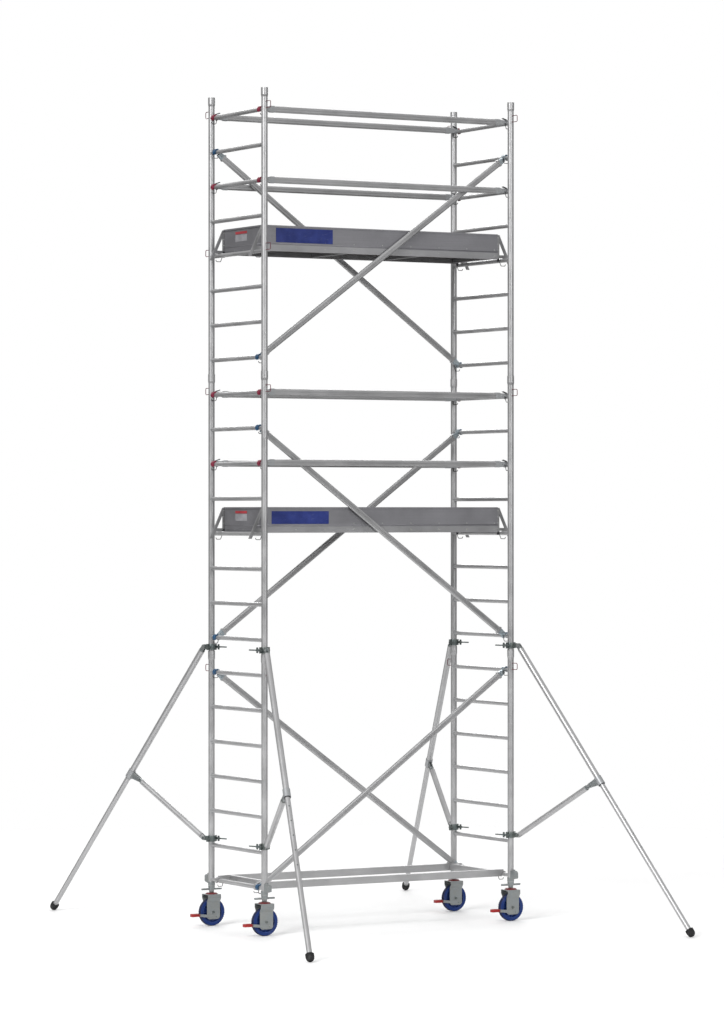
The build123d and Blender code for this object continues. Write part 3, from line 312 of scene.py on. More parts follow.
zinc_dark = zinc("zinc_dark", (0.13, 0.155, 0.155), warm=(0.18, 0.175, 0.14))
spring_wire = zinc("spring_wire", (0.055, 0.055, 0.06), warm=(0.16, 0.15, 0.12), rough=(0.25, 0.4))
coated_wire = moulded("coated_wire", (0.10, 0.003, 0.014), rough=(0.28, 0.4), worn=(0.3, 0.12, 0.13))
claw_red = moulded("claw_red", (0.20, 0.010, 0.035), worn=(0.32, 0.12, 0.15))
claw_blue = moulded("claw_blue", (0.010, 0.065, 0.15), worn=(0.1, 0.17, 0.25))
lever_dark = moulded("lever_dark", (0.03, 0.03, 0.035), worn=(0.12, 0.12, 0.12))
pedal_red = moulded("pedal_red", (0.29, 0.007, 0.006), rough=(0.3, 0.42), worn=(0.42, 0.16, 0.14))
cap_red = moulded("cap_red", (0.13, 0.010, 0.013), rough=(0.34, 0.46), worn=(0.32, 0.12, 0.12))
wheel_blue = moulded("wheel_blue", (0.003, 0.028, 0.165), rough=(0.36, 0.5), worn=(0.05, 0.11, 0.32))
side_blue = rubber("side_blue", (0.003, 0.024, 0.14))
tread_navy = rubber("tread_navy", (0.010, 0.016, 0.060))
foot_black = rubber("foot_black", (0.012, 0.012, 0.013))
deck_film = film_ply("deck_film")
label_blue = sticker("label_blue", (0.006, 0.020, 0.16))
label_red = sticker("label_red", (0.35, 0.02, 0.03))
label_pale = sticker("label_pale", (0.275, 0.273, 0.29))


def paint(node, material, *others):
    """Give a CAD node its material. Others, as (material, test), go to faces whose centre passes the test."""
    mesh = frame["nodes"][node].data
    mesh.materials.clear()
    for entry in (material, *[other for other, test in others]):
        mesh.materials.append(entry)
    for face in mesh.polygons:
        face.material_index = 0
        for index, (other, test) in enumerate(others, start=1):
            if test(face.center):
                face.material_index = index


for section in SECTIONS:
    for side in SIDES:
        paint(f"{section}_frame_{side}", frame_metal)
paint("locking_clips", coated_wire)
paint("claw_latches", spring_wire)
paint("stem_locks", zinc_plate)
paint("guardrails", rail_metal)


def brace_falls(p):
    """Whether a face belongs to a brace that falls towards +X."""
    low, high = (rung_z(SECTIONS["middle"][end]) - RUNG_PITCH / 2 for end in (0, -1))
    return (p.y < 0) == (low < p.z < high)


paint("diagonal_braces", brace_rising, (brace_falling, brace_falls))
paint("guardrail_claws", cast_metal)
paint("brace_claws", fitting_metal)
paint("base_chassis", rail_metal)
paint("platform_frames", cross_metal)
paint("platform_brackets", plate_metal)
paint("toe_boards", board_metal)
paint("platform_decks", deck_film)
HATCH_PANEL_TOP = 0.0005
for level in PLATFORM_RUNGS:
    limit = deck_top[level] + HATCH_PANEL_TOP
    paint(f"deck_hatch_{level}", deck_film, (zinc_plate, lambda at, limit=limit: at.z > limit))

FORK_HALF = 0.0306                # half the fork's width over its plates
FORK_BOLTS_TOP = 0.16             # the bolts outside the plates lie below this
CAP_RISE = 0.0001                 # the fork's cap lies above this, from the swivel
PEDAL_PAD_OUT = 0.1071            # the pedal's coloured pad lies beyond this, from the swivel

for corner in CORNERS:
    at = corner_at[corner]
    paint(f"caster_wheel_{corner}", wheel_blue)
    paint(f"jack_nut_{corner}", zinc_plate)
    paint(f"caster_stem_{corner}", zinc_bright)
    paint(
        f"caster_fork_{corner}",
        zinc_plate,
        (cap_red, lambda p, z=at.z: p.z > z + CAP_RISE),
        (zinc_dark, lambda p, y=at.y: abs(p.y - y) > FORK_HALF and p.z < FORK_BOLTS_TOP),
    )
    paint(f"brake_pedal_{corner}", zinc_plate, (pedal_red, lambda p, x=at.x: p.x < x - PEDAL_PAD_OUT))
    paint(f"outrigger_upper_coupler_{corner}", zinc_dark)
    paint(f"outrigger_lower_coupler_{corner}", zinc_dark)


# ---------------------------------------------------------------- mesh helpers
def round_edges(obj, width, angle):
    """A small rounding on the edges that turn by more than an angle, in degrees."""
    edges = obj.modifiers.new("rounded_edges", "BEVEL")
    edges.width = width
    edges.segments = 2
    edges.limit_method = "ANGLE"
    edges.angle_limit = math.radians(angle)


def facing(origin, normal, roll=(0, 0, 1)):
    """A placement at origin whose Z axis is normal and whose X axis leans towards roll."""
    z = Vector(normal).normalized()
    x = Vector(roll) - z * Vector(roll).dot(z)
    if x.length < 1e-4:
        x = Vector((1, 0, 0)) - z * z.x
    x.normalize()
    turn = Matrix((x, z.cross(x), z)).transposed().to_4x4()
    return Matrix.Translation(Vector(origin)) @ turn


class Shape:
    """Points and faces gathered from several simple forms, then made one piece."""

    def __init__(self):
        self.points = []
        self.faces = []

    def add(self, points, faces, place=Matrix.Identity(4)):
        start = len(self.points)
        self.points += [place @ Vector(p) for p in points]
        self.faces += [[start + i for i in face] for face in faces]
        return self

    def grid(self, rows, place=Matrix.Identity(4)):
        """Faces between successive rows of points, where each row is a closed ring."""
        count = len(rows[0])
        faces = []
        for r in range(len(rows) - 1):
            for c in range(count):
                d = (c + 1) % count
                faces.append((r * count + c, r * count + d, (r + 1) * count + d, (r + 1) * count + c))
        return self.add([p for row in rows for p in row], faces, place)

    def lathe(self, profile, sides=32, place=Matrix.Identity(4), change=None):
        """A form turned about Z from (radius, height) pairs, where change may alter a radius by its angle."""
        rows = []
        for radius, height in profile:
            row = []
            for i in range(sides):
                angle = 2 * math.pi * i / sides
                r = change(radius, height, angle) if change else radius
                row.append((r * math.cos(angle), r * math.sin(angle), height))
            rows.append(row)
        return self.grid(rows, place)

    def prism(self, outline, low, high, place=Matrix.Identity(4)):
        """An outline in XY, extruded from low to high along Z."""
        n = len(outline)
        points = [(x, y, low) for x, y in outline] + [(x, y, high) for x, y in outline]
        faces = [list(range(n))[::-1], list(range(n, 2 * n))]
        faces += [[i, (i + 1) % n, n + (i + 1) % n, n + i] for i in range(n)]
        return self.add(points, faces, place)

    def block(self, low, high, place=Matrix.Identity(4)):
        outline = [(low[0], low[1]), (high[0], low[1]), (high[0], high[1]), (low[0], high[1])]
        return self.prism(outline, low[2], high[2], place)

    def piece(self, name, material, body, slot, bevel=0.0, smooth=40.0):
        """The finished piece, riding on a body."""
        mesh = bpy.data.meshes.new(name)
        mesh.from_pydata([tuple(p) for p in self.points], [], self.faces)
        work = bmesh.new()
        work.from_mesh(mesh)
        bmesh.ops.remove_doubles(work, verts=work.verts, dist=1e-6)
        bmesh.ops.recalc_face_normals(work, faces=work.faces)
        work.to_mesh(mesh)
        work.free()
        mesh.materials.append(material)
        mesh.shade_smooth()
        mesh.set_sharp_from_angle(angle=math.radians(smooth))
        obj = bpy.data.objects.new(name, mesh)
        bpy.context.scene.collection.objects.link(obj)
        if bevel > 0:
            round_edges(obj, bevel, 35)
        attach(obj, body)
        return obj


def arc(radius, start, end, steps, centre=(0.0, 0.0)):
    """Points along an arc, angles in degrees."""
    angles = [math.radians(start + (end - start) * i / steps) for i in range(steps + 1)]
    return [(centre[0] + radius * math.cos(a), centre[1] + radius * math.sin(a)) for a in angles]


def rivet(shape, at, normal, radius=0.0042, height=0.0022):
    """A domed rivet head on a face."""
    dome = [(0.0, height), (radius * 0.55, height * 0.88), (radius * 0.9, height * 0.5)]
    dome += [(radius, 0.0), (radius * 0.5, -0.0004)]
    return shape.lathe(dome, 14, facing(at, normal))


# ---------------------------------------------------------------- caster wheels
WHEEL_WIDTH = 0.040
HUB_RADIUS = 0.026
RIM_SHARE = 0.8                   # of the wheel's radius
LUGS = 40
LUG_STEPS = 4                     # points round the tyre for each lug
LUG_DEPTH = 0.0024
WHEEL_RIBS = 12


def make_wheel(corner):
    """A ribbed wheel centre, bearing covers and a grooved tread band, in place of the plain CAD wheel."""
    low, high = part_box(f"caster_wheel_{corner}")
    middle = (low + high) / 2
    place = facing(middle, (0, 1, 0), (1, 0, 0))
    radius = (high.z - low.z) / 2
    half_hub = (high.y - low.y) / 2
    rim = radius * RIM_SHARE
    half = WHEEL_WIDTH / 2
    groove = 0.0022
    shoulder = [(rim, half - 0.002), (rim + 0.004, half)]
    shoulder += [(radius - 0.008, half), (radius - 0.0032, half - 0.0018)]
    crown = [(radius - 0.0008, half - 0.006), (radius, half - 0.009), (radius, 0.0085)]
    crown += [(radius - groove, 0.0078), (radius - groove, 0.0052), (radius, 0.0045)]
    side = shoulder + crown
    profile = [(r, h) for r, h in side] + [(r, -h) for r, h in reversed(side)]
    sides = LUGS * LUG_STEPS

    def lugs(r, h, angle):
        step = round(angle / (2 * math.pi) * sides) % LUG_STEPS
        return r - LUG_DEPTH if step == 0 and r > radius - 0.004 and abs(h) > 0.0095 else r

    tyre = Shape().lathe(profile + [profile[0]], sides, place, lugs)
    band = tyre.piece(f"tread_band_{corner}", side_blue, f"wheel_{corner}", "wheel_blue", smooth=28)
    band.data.materials.append(tread_navy)
    for face in band.data.polygons:
        away = math.hypot(face.center.x - middle.x, face.center.z - middle.z)
        face.material_index = int(away > radius - 0.0052 and abs(face.center.y - middle.y) < half - 0.0006)

    centre = Shape()
    inner = rim - 0.008
    ring = [(rim, half - 0.002), (rim, 0.002 - half), (rim - 0.002, 0.0012 - half)]
    ring += [(inner, 0.003 - half), (inner - 0.004, -0.005)]
    web = [(HUB_RADIUS + 0.006, -0.005), (HUB_RADIUS, -0.012)]
    web += [(HUB_RADIUS - 0.001, 0.0015 - half_hub), (HUB_RADIUS - 0.003, -half_hub)]
    bore = [(0.0078, -half_hub), (0.0078, half_hub)]
    far = [(r, -h) for r, h in reversed(ring[1:] + web)]
    centre.lathe(ring + web + bore + far, 64, place)
    root, tip = HUB_RADIUS - 0.001, inner + 0.001
    rib = [(root, -0.0026), (tip, -0.0018), (tip, 0.0018), (root, 0.0026)]
    for i in range(WHEEL_RIBS):
        turn = place @ Matrix.Rotation(2 * math.pi * i / WHEEL_RIBS, 4, "Z")
        for s in (-1, 1):
            centre.prism(rib, *sorted((s * 0.004, s * 0.0135)), turn)
    centre.piece(f"wheel_centre_{corner}", wheel_blue, f"wheel_{corner}", "wheel_blue", bevel=0.0006)

    covers = Shape()
    cover = [(0.0068, 0.0005), (0.0068, 0.0034), (0.0155, 0.0034), (0.0170, 0.0026), (0.0172, 0.0005)]
    for s in (-1, 1):
        end = facing(place @ Vector((0, 0, s * (half_hub - 0.0035))), (0, s, 0))
        covers.lathe(cover + cover[:1], 32, end)
    covers_piece = covers.piece(f"bearing_covers_{corner}", zinc_bright, f"wheel_{corner}", "zinc_steel")
    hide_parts(f"caster_wheel_{corner}")


# ---------------------------------------------------------------- brake pedals, jack stems
def make_pedal_ribs(corner):
    """Grip ribs moulded across the top of a brake pedal."""
    low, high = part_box(f"brake_pedal_{corner}")
    middle = corner_at[corner].y
    ribs = Shape()
    for i in range(5):
        x = low.x + 0.008 + 0.010 * i
        ribs.block((x, middle - 0.016, high.z - 0.0004), (x + 0.0045, middle + 0.016, high.z + 0.0014))
    ribs.piece(f"pedal_ribs_{corner}", pedal_red, f"pedal_{corner}", "pedal_red", bevel=0.0006)


STEM_RADIUS = 0.014
THREAD_PITCH = 0.008
THREAD_DEPTH = 0.0016
THREAD_SIDES = 20
STEPS_PER_TURN = 5


def make_thread(corner):
    """The jack's rolled thread round its stem, from above the crown to below the guide."""
    low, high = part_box(f"caster_stem_{corner}")
    at = corner_at[corner]
    axis = Matrix.Translation((at.x, at.y, 0))
    start = at.z + 0.0145
    end = high.z - 0.045
    rows = []
    steps = int((end - start) / THREAD_PITCH * STEPS_PER_TURN)
    for k in range(steps + 1):
        z = start + (end - start) * k / steps
        row = []
        for i in range(THREAD_SIDES):
            turn = i / THREAD_SIDES
            phase = (z / THREAD_PITCH - turn) % 1.0
            r = STEM_RADIUS + 0.0001 - THREAD_DEPTH * (1 - min(1.0, abs(phase - 0.5) * 2.6))
            row.append((r * math.cos(2 * math.pi * turn), r * math.sin(2 * math.pi * turn), z))
        rows.append(row)
    stem = Shape().grid(rows, axis)
    flange = [(0.0, low.z), (STEM_RADIUS, low.z), (0.0245, low.z), (0.025, low.z + 0.0008)]
    flange += [(0.025, at.z - 0.0045), (STEM_RADIUS, at.z - 0.0038)]
    flange += [(STEM_RADIUS, start), (STEM_RADIUS - 0.001, start)]
    stem.lathe(flange, 32, axis)
    guide = [(STEM_RADIUS - 0.001, high.z - 0.040), (0.0195, high.z - 0.040), (0.0201, high.z - 0.039)]
    guide += [(0.0201, high.z - 0.001), (0.019, high.z), (0.0, high.z)]
    stem.lathe(guide, 32, axis)
    piece = stem.piece(f"threaded_stem_{corner}", zinc_bright, f"jack_{corner}", "zinc_steel", smooth=50)
    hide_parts(f"caster_stem_{corner}")


# ---------------------------------------------------------------- outriggers
LEG_RADIUS = 0.022
INNER_RADIUS = 0.019
FOOT_RADIUS = 0.029
LEG_EYE = 0.0379                  # the fitting at the leg's top ends here
PLATES_OUT = 0.0302               # what lies further than this off the leg's line is plate or bolt
SLEEVE_MIDDLE = 0.025             # of the cast sleeve, past the strut's pivot
SLEEVE_HALF = 0.036
SLEEVE_INSIDE = 0.0225
STRUT_EYE = 0.0415                # reach of a strut's end fitting from its pin
FOOT_LENGTH = 0.0562
LEG_LENGTH = 1.250
BUTTON_AT = 1.215                 # down the leg, as are the next two
FIRST_HOLE = 1.330
HOLE_PITCH = 0.120
LEG_HOLES = 5


def leg_line(corner):
    """The top pivot of an outrigger's leg and the leg's direction."""
    along = Vector(joints[f"leg_extend_{corner}"]["axis"]).normalized()
    return Vector(joints[f"leg_tilt_{corner}"]["pos_m"]), along


def leg_side(corner):
    """The horizontal direction across an outrigger's plane."""
    return Vector(joints[f"leg_tilt_{corner}"]["axis"]).normalized()


def make_outrigger_looks(corner):
    """Die-drawn tubes, a ribbed rubber foot and bolts of one outrigger, with each adjusting hole drawn as a
    dark disc of painted shade.
    """
    top, along = leg_line(corner)
    across = leg_side(corner)
    tube = drawn_metal(f"leg_tube_{corner}", ALUMINIUM, along)
    strut_top = Vector(joints[f"strut_fold_{corner}"]["pos_m"])
    foot_pin = sum(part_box(f"outrigger_lower_coupler_{corner}"), Vector()) / 2
    strut_along = (strut_top - foot_pin).normalized()
    strut_tube = drawn_metal(f"strut_tube_{corner}", ALUMINIUM, strut_along)
    mid_at = (strut_top - top).dot(along)

    def off_line(p):
        away = p - top
        return (away - along * away.dot(along)).length

    def is_hardware(p):
        run = (p - top).dot(along)
        return run < LEG_EYE or off_line(p) > PLATES_OUT

    def is_sleeve(p):
        run = (p - top).dot(along)
        return abs(run - mid_at - SLEEVE_MIDDLE) < SLEEVE_HALF and off_line(p) > SLEEVE_INSIDE

    def is_strut_end(p):
        at_foot = (p - foot_pin).length < STRUT_EYE and p.z < min(top.z, strut_top.z)
        return (p - strut_top).length < STRUT_EYE or at_foot

    paint(f"outrigger_leg_{corner}", tube, (cast_metal, is_sleeve), (zinc_plate, is_hardware))
    paint(f"outrigger_strut_{corner}", strut_tube, (zinc_plate, is_strut_end))
    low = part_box(f"outrigger_extension_{corner}")[0]
    reach = (low.z + FOOT_RADIUS - top.z) / along.z
    foot = top + along * reach
    foot_start = reach - FOOT_LENGTH
    paint(f"outrigger_extension_{corner}", tube, (foot_black, lambda p: (p - top).dot(along) > foot_start))

    ribs = Shape()
    root, crest = FOOT_RADIUS - 0.001, FOOT_RADIUS + 0.0012
    rib = [(root, -0.0022), (crest, -0.001), (crest, 0.001), (root, 0.0022)]
    for i in range(4):
        ribs.lathe(rib, 36, facing(foot - along * (0.006 + 0.0065 * i), along))
    ribs.piece(f"foot_ribs_{corner}", foot_black, f"extension_{corner}", "aluminium_tube")

    collar = Shape()
    outer_end = top + along * LEG_LENGTH
    wall = [(INNER_RADIUS + 0.0007, 0.0), (INNER_RADIUS + 0.0007, 0.0035), (LEG_RADIUS + 0.0012, 0.0035)]
    wall += [(LEG_RADIUS + 0.0028, 0.001), (LEG_RADIUS + 0.0028, -0.020), (LEG_RADIUS + 0.0004, -0.022)]
    collar.lathe(wall, 40, facing(outer_end, along))
    collar.piece(f"leg_collar_{corner}", lever_dark, f"leg_{corner}", "aluminium_tube", smooth=30)

    button = Shape()
    out = across.cross(along).normalized()
    spot = top + along * BUTTON_AT + out * LEG_RADIUS
    button.lathe([(0.0055, -0.0006), (0.0055, 0.0022), (0.004, 0.0042), (0.0, 0.0048)], 20, facing(spot, out))
    button.piece(f"leg_button_{corner}", zinc_bright, f"leg_{corner}", "zinc_steel")
    # Each adjusting hole is drawn as a dark disc on the tube: its dark zinc is painted shade, standing in for
    # the shaded inside of the hole.
    hole_shade_discs = Shape()
    profile = ((0.0056, 0.0), (0.0052, 0.0003), (0.0044, 0.0003), (0.0040, 0.0001), (0.0, 0.0001))
    for i in range(LEG_HOLES):
        middle = FIRST_HOLE + HOLE_PITCH * i
        rows = []
        for radius, height in profile:
            row = []
            for x, y in arc(radius, 0, 345, 23):
                turn = Matrix.Rotation(y / INNER_RADIUS, 4, along)
                row.append(top + along * (middle + x) + turn @ (out * (INNER_RADIUS + height)))
            rows.append(row)
        hole_shade_discs.grid(rows)
    hole_shade_discs.piece(f"leg_hole_shade_{corner}", zinc_dark, f"extension_{corner}", "aluminium_tube")


# ---------------------------------------------------------------- claws of the guardrails and braces
HOOK_BORE = 0.0153
HOOK_RADIUS = 0.0243
CLAW_WIDTH = 0.036
GUARDRAIL_END_GAP = 0.090
BRACE_END_GAP = 0.062
RAIL_DEPTH = 0.022
RAIL_RISE = 0.005
HOOK_SEAM = 78.0                  # degrees, where the coloured cap meets the cast hook


def hook_outlines():
    """The two halves of a hook that opens downwards: the cast one on the bay's side, and the coloured cap."""
    drop = -math.sqrt(HOOK_RADIUS ** 2 - HOOK_BORE ** 2)
    foot = math.degrees(math.asin(drop / HOOK_RADIUS))
    cast = arc(HOOK_RADIUS, foot, HOOK_SEAM, 14) + arc(HOOK_BORE, HOOK_SEAM, 0, 9)
    cast.append((HOOK_BORE, drop + 0.0005))
    cap = arc(HOOK_RADIUS, HOOK_SEAM, 180 - foot, 16) + [(-HOOK_BORE, drop + 0.0005)]
    cap += arc(HOOK_BORE, 180, HOOK_SEAM, 11)
    return cast, cap


def rung_place(side, y, index):
    """On a rung's axis: X into the bay, Y up, Z along the rung."""
    return Matrix.Translation((side * HALF_LENGTH, y, rung_z(index))) @ Matrix(
        ((-side, 0, 0, 0), (0, 0, side, 0), (0, 1, 0, 0), (0, 0, 0, 1))
    )


def add_arm(shape, place, start, end, near, far, tilt=0.0, rise=0.0):
    """A stepped arm with chamfered corners, from the hook to its rail."""
    turned = place @ Matrix.Rotation(tilt, 4, "Z") @ Matrix.Translation((0, rise, 0))
    rows = []
    middle = (start + end) / 2
    stations = ((start, near), (middle - 0.008, near), (middle + 0.008, far), (end, far))
    for x, (height, depth) in stations:
        h, d = height / 2, depth / 2
        cut = min(h, d) * 0.3
        ring = [(-h + cut, -d), (h - cut, -d), (h, -d + cut), (h, d - cut)]
        ring += [(h - cut, d), (-h + cut, d), (-h, d - cut), (-h, -d + cut)]
        rows.append([(x, y, z) for y, z in ring])
    shape.grid(rows, turned)
    count = len(rows[0])
    shape.add(rows[0], [list(range(count))[::-1]], turned)
    shape.add(rows[-1], [list(range(count))], turned)
    return turned


def make_claws():
    """Coloured hooks, cast arms, small dark levers and rivets of every guardrail and brace."""
    guard_y = abs(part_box("guardrails")[1].y) - RAIL_DEPTH / 2
    brace_y = abs(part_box("diagonal_braces")[1].y) - RAIL_DEPTH / 2 - 0.002
    cast, cap = hook_outlines()
    half = CLAW_WIDTH / 2
    lever_side = [(-0.006, 0.0), (0.030, 0.0), (0.036, 0.004), (0.030, 0.008), (-0.004, 0.007)]
    red, blue, arms, blue_arms, levers, heads = (Shape() for _ in range(6))
    for index in GUARDRAIL_RUNGS:
        for across in (-1, 1):
            for side in (-1, 1):
                place = rung_place(side, across * guard_y, index)
                red.prism(cap, -half, half, place)
                arms.prism(cast, -half, half, place)
                ends = (HOOK_RADIUS - 0.002, GUARDRAIL_END_GAP + 0.012)
                turned = add_arm(arms, place, *ends, (0.036, 0.026), (0.0475, 0.0262), rise=RAIL_RISE)
                seat = Matrix.Translation((0.010, HOOK_RADIUS - 0.0015, 0))
                lever = place @ seat @ Matrix.Rotation(0.30, 4, "Z")
                levers.prism(lever_side, -0.008, 0.008, lever)
                for x in (0.052, 0.082):
                    for s in (-1, 1):
                        rivet(heads, turned @ Vector((x, 0, s * 0.0129)), (0, s * side, 0))
    for across, left, right in BRACES:
        low = Vector((-HALF_LENGTH, across * brace_y, rung_z(left)))
        high = Vector((HALF_LENGTH, across * brace_y, rung_z(right)))
        slope = math.atan2(high.z - low.z, high.x - low.x)
        for side, index, tilt in ((-1, left, slope), (1, right, -slope)):
            place = rung_place(side, across * brace_y, index)
            blue.prism(cap, -half, half, place)
            blue_arms.prism(cast, -half, half, place)
            ends = (HOOK_RADIUS - 0.004, BRACE_END_GAP + 0.001)
            turned = add_arm(blue_arms, place, *ends, (0.034, 0.030), (0.042, 0.026), tilt)
            rivet(heads, turned @ Vector((0.046, 0, -0.0139)), (0, -side, 0))
            rivet(heads, turned @ Vector((0.046, 0, 0.0139)), (0, side, 0))
    red.piece("guardrail_hooks", claw_red, "tower", "red_plastic", bevel=0.0016)
    arms_piece = arms.piece("guardrail_arms", cast_metal, "tower", "aluminium_extrusion", bevel=0.001)
    levers.piece("guardrail_levers", lever_dark, "tower", "red_plastic", bevel=0.0012)
    blue.piece("brace_hooks", claw_blue, "tower", "blue_plastic", bevel=0.0016)
    blue_piece = blue_arms.piece("brace_arms", fitting_metal, "tower", "blue_plastic", bevel=0.001)
    heads.piece("claw_rivets", zinc_bright, "tower", "zinc_steel")
    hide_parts("guardrail_claws")
    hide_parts("brace_claws")


# ---------------------------------------------------------------- ladder frame welds
def make_welds(section, side):
    """The rippled weld bead round each end of each rung."""
    beads = Shape()
    x = SIDES[side] * HALF_LENGTH
    around, sides = 40, 6
    for index in SECTIONS[section]:
        for end in (-1, 1):
            rows = []
            for i in range(around + 1):
                angle = 2 * math.pi * (i % around) / around
                ripple = 0.0026 + 0.0004 * math.sin(angle * 13 + index)
                ring = RUNG_RADIUS + 0.0006
                reach = math.sqrt(POST_RADIUS ** 2 - (ring * math.cos(angle)) ** 2)
                centre = Vector((
                    x + ring * math.cos(angle),
                    end * (HALF_WIDTH - reach),
                    rung_z(index) + ring * math.sin(angle),
                ))
                outwards = Vector((math.cos(angle), 0, math.sin(angle)))
                row = []
                for k in range(sides):
                    turn = 2 * math.pi * k / sides
                    away = outwards * (ripple * math.cos(turn))
                    row.append(centre + away + Vector((0, ripple * math.sin(turn), 0)))
                rows.append(row)
            beads.grid(rows)
    beads.piece(f"{section}_{side}_weld_beads", cast_metal, "tower", "aluminium_tube", smooth=180)


# ---------------------------------------------------------------- platforms
BOARD_FACE_IN = 0.003             # from the bead's face to the board's face
END_FACE_IN = 0.008
BOARD_RIB = ((-0.0035, -0.0004), (-0.0022, 0.0011), (0.0, 0.0017), (0.0022, 0.0011), (0.0035, -0.0004))
SIDE_RIB_RISE = 0.009             # above the deck
SIDE_RIB_IN = 0.003               # from the end board's face
END_RIB_RISES = (-0.026, 0.006)
END_RIB_HALF = 0.283
# width, height and left edge of the blue label on each front board
FRONT_LABELS = {"lower": (0.465, 0.091, -0.912), "upper": (0.463, 0.102, -0.877)}


def add_board_rib(shape, start, outwards, length):
    """A rib pressed outwards along a toe board."""
    swell = (start @ Vector((0, 1, 0)) - start @ Vector((0, 0, 0))).dot(outwards)
    sign = 1 if swell > 0 else -1
    shape.prism([(a, b * sign) for a, b in BOARD_RIB], 0.0, length, start)


def make_platform_trim():
    """Pressed ribs, rivets and plain labels of the toe boards, and rivets of the platform frames."""
    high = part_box("toe_boards")[1]
    face_y = high.y - BOARD_FACE_IN
    face_x = high.x - END_FACE_IN
    rail_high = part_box("platform_frames")[1]
    ribs, heads, blue, red, pale = (Shape() for _ in range(5))
    for level in PLATFORM_RUNGS:
        z = deck_top[level]
        for across in (-1, 1):
            start = facing((-face_x + SIDE_RIB_IN, across * face_y, z + SIDE_RIB_RISE), (1, 0, 0), (0, 0, 1))
            add_board_rib(ribs, start, Vector((0, across, 0)), 2 * (face_x - SIDE_RIB_IN))
            for i in range(9):
                x = -face_x + 0.03 + i * (face_x - 0.03) / 4
                rivet(heads, (x, across * face_y, z + 0.022), (0, across, 0))
                rivet(heads, (x, across * rail_high.y, z - 0.022), (0, across, 0), 0.005, 0.0025)
        for end in (-1, 1):
            for rise in END_RIB_RISES:
                start = facing((end * face_x, -END_RIB_HALF, z + rise), (0, 1, 0), (0, 0, 1))
                add_board_rib(ribs, start, Vector((end, 0, 0)), 2 * END_RIB_HALF)
            for i in range(5):
                rivet(heads, (end * face_x, -0.26 + 0.13 * i, z - 0.026), (end, 0, 0))
        width, height, start_x = FRONT_LABELS[level]
        foot = z + 0.018
        blue.block((start_x, -face_y - 0.0021, foot), (start_x + width, -face_y + 0.0002, foot + height))
        red.block((-face_x - 0.0012, -0.055, z + 0.093), (-face_x + 0.0002, 0.119, z + 0.111))
        pale.block((-face_x - 0.0012, -0.055, z + 0.040), (-face_x + 0.0002, 0.119, z + 0.088))
    ribs.piece("toe_board_ribs", board_metal, "tower", "aluminium_sheet", smooth=180)
    heads.piece("platform_rivets", zinc_bright, "tower", "zinc_steel")
    blue.piece("front_labels", label_blue, "tower", "blue_plastic", bevel=0.0006)
    red.piece("end_labels_red", label_red, "tower", "red_plastic", bevel=0.0004)
    pale.piece("end_labels_pale", label_pale, "tower", "aluminium_sheet", bevel=0.0004)


BRACKET_RIVETS = (0.030, 0.075, 0.120, 0.165)   # heights above the rung


def make_bracket_trim():
    """Rivets and the dark rounded locking lever of each end bracket."""
    heads, levers = Shape(), Shape()
    plane_y = abs(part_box("platform_brackets")[1].y) - 0.004
    lever_side = [(0.030, -0.012), (0.046, -0.012), (0.048, 0.020)]
    lever_side += [(0.043, 0.034), (0.033, 0.034), (0.028, 0.020)]
    for level, index in PLATFORM_RUNGS.items():
        for side in (-1, 1):
            for across in (-1, 1):
                place = rung_place(side, across * plane_y, index)
                for rise in BRACKET_RIVETS:
                    for s in (-1, 1):
                        at = place @ Vector((0.043, rise, s * 0.004))
                        rivet(heads, at, (0, s * side, 0), 0.005, 0.0026)
                inner = -1 if across * side > 0 else 1
                start, end = sorted((inner * 0.0042, inner * 0.0105))
                levers.prism(lever_side, start, end, place)
    heads.piece("bracket_rivets", zinc_bright, "tower", "zinc_steel")
    levers.piece("bracket_levers", lever_dark, "tower", "zinc_steel", bevel=0.0018)


for corner in CORNERS:
    make_wheel(corner)
    make_pedal_ribs(corner)
    make_thread(corner)
    make_outrigger_looks(corner)
make_claws()
for section in SECTIONS:
    for side in SIDES:
        make_welds(section, side)
make_platform_trim()
make_bracket_trim()

# a small rounding on the sharp edges of the CAD's plates and sections
SOFT_EDGES = {
    "base_chassis": 0.0012,
    "platform_frames": 0.0012,
    "platform_brackets": 0.0010,
    "stem_locks": 0.0010,
}
for corner in CORNERS:
    for node in (
        "caster_fork", "brake_pedal", "jack_nut", "outrigger_upper_coupler", "outrigger_lower_coupler"
    ):
        SOFT_EDGES[f"{node}_{corner}"] = 0.0007
for node, width in SOFT_EDGES.items():
    piece = frame["nodes"][node]
    weld = piece.modifiers.new("weld", "WELD")
    weld.merge_threshold = 0.00001
    round_edges(piece, width, 50)

# ---------------------------------------------------------------- camera, lights, floor
VIEW_AZIMUTH = 30.0
EYE = Vector((-14.243, -24.670, 2.99))
camera_data = bpy.data.cameras.new("camera")
camera = bpy.data.objects.new("camera", camera_data)
bpy.context.scene.collection.objects.link(camera)
camera.location = EYE
heading = Vector((math.sin(math.radians(VIEW_AZIMUTH)), math.cos(math.radians(VIEW_AZIMUTH)), 0))
camera.rotation_mode = "QUATERNION"
camera.rotation_quaternion = heading.to_track_quat("-Z", "Y")
camera_data.sensor_width = 36.0
camera_data.lens = 137.7
camera_data.clip_end = 200.0
bpy.context.scene.camera = camera


def soft_light(name, at, aim, size, power):
    """A large square light, unseen by the camera."""
    data = bpy.data.lights.new(name, "AREA")
    data.size = size
    data.energy = power
    light = bpy.data.objects.new(name, data)
    bpy.context.scene.collection.objects.link(light)
    light.location = at
    light.rotation_mode = "QUATERNION"
    light.rotation_quaternion = (Vector(aim) - Vector(at)).to_track_quat("-Z", "Y")
    light.visible_camera = False


soft_light("key_light", (-17.0, -9.0, 13.0), (0, 0, 3.0), 9.0, 3000.0)
soft_light("front_light", (1.0, -21.0, 8.0), (0, 0, 3.0), 8.0, 900.0)
soft_light("back_light", (9.0, 16.0, 12.0), (0, 0, 3.0), 9.0, 1500.0)

FLOOR_RADIUS = 9.0
FLOOR_FADE = 5.0


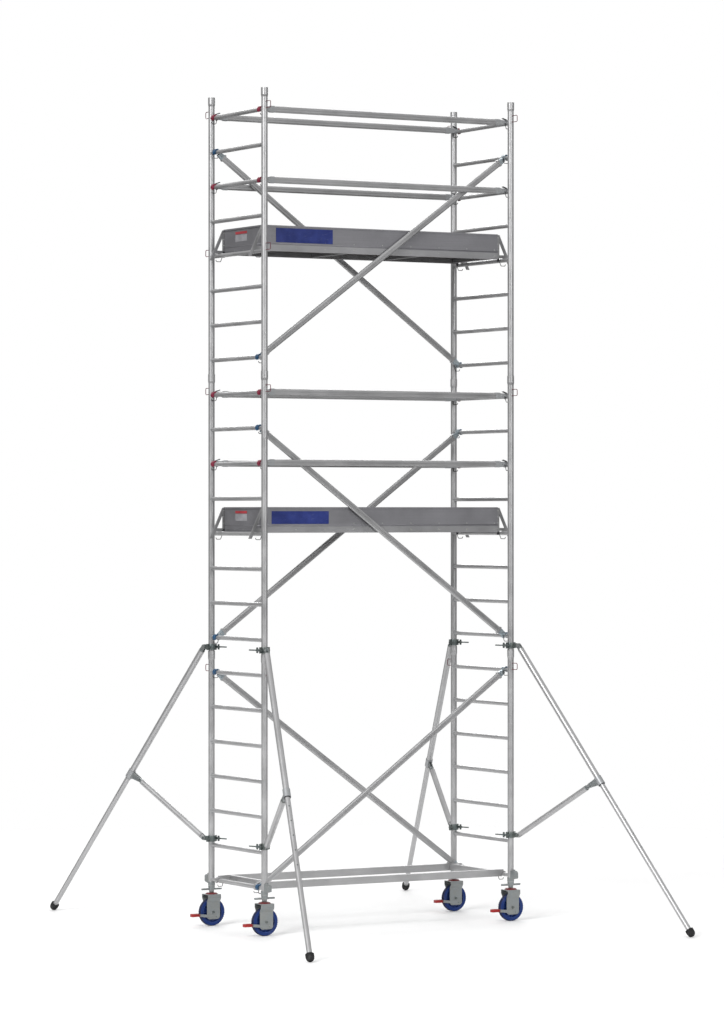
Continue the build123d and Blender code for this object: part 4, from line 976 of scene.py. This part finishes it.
def studio_world():
    """White behind the object, and a soft grey sky for everything that it lights."""
    world = bpy.data.worlds.new("studio")
    world.use_nodes = True
    tree = world.node_tree
    shown = tree.nodes["Background"]
    shown.inputs["Color"].default_value = (1, 1, 1, 1)
    lit = tree.nodes.new("ShaderNodeBackground")
    place = tree.nodes.new("ShaderNodeTexCoord")
    parts = tree.nodes.new("ShaderNodeSeparateXYZ")
    sky = tree.nodes.new("ShaderNodeValToRGB")
    tree.links.new(place.outputs["Generated"], parts.inputs[0])
    rise = tree.nodes.new("ShaderNodeMapRange")
    rise.inputs["From Min"].default_value = -1.0
    tree.links.new(parts.outputs["Z"], rise.inputs["Value"])
    tree.links.new(rise.outputs["Result"], sky.inputs["Fac"])
    sky.color_ramp.elements[0].position = 0.40
    sky.color_ramp.elements[0].color = (0.12, 0.12, 0.12, 1)
    sky.color_ramp.elements[1].position = 0.75
    sky.color_ramp.elements[1].color = (1, 1, 1, 1)
    tree.links.new(sky.outputs["Color"], lit.inputs["Color"])
    lit.inputs["Strength"].default_value = 0.75
    path = tree.nodes.new("ShaderNodeLightPath")
    mix = tree.nodes.new("ShaderNodeMixShader")
    tree.links.new(path.outputs["Is Camera Ray"], mix.inputs[0])
    tree.links.new(lit.outputs[0], mix.inputs[1])
    tree.links.new(shown.outputs[0], mix.inputs[2])
    tree.links.new(mix.outputs[0], tree.nodes["World Output"].inputs["Surface"])
    bpy.context.scene.world = world


def studio_floor():
    """A round pale floor that fades into the white round it."""
    m = Shader("floor_pale")
    m.finish(m.blend(m.noise(0.8, 3.0), (0.90, 0.90, 0.90), (0.94, 0.94, 0.94)), 0.9, specular=0.1)
    reach = m.add("ShaderNodeVectorMath", operation="LENGTH")
    m.join(m.place, reach.inputs[0])
    clear = m.add("ShaderNodeBsdfTransparent")
    mix = m.add("ShaderNodeMixShader")
    m.join(m.span(reach.outputs["Value"], FLOOR_FADE, FLOOR_RADIUS), mix.inputs[0])
    m.join(m.surface.outputs[0], mix.inputs[1])
    m.join(clear.outputs[0], mix.inputs[2])
    m.join(mix.outputs[0], m.tree.nodes["Material Output"].inputs["Surface"])
    mesh = bpy.data.meshes.new("floor")
    rim = [(FLOOR_RADIUS * x, FLOOR_RADIUS * y, 0.0) for x, y in arc(1.0, 0, 360 - 360 / 96, 95)]
    mesh.from_pydata(rim, [], [list(range(len(rim)))])
    mesh.materials.append(m.material)
    floor = bpy.data.objects.new("floor", mesh)
    floor.location.z = -0.0005
    bpy.context.scene.collection.objects.link(floor)


studio_world()
studio_floor()
bpy.context.scene.view_settings.view_transform = "Standard"
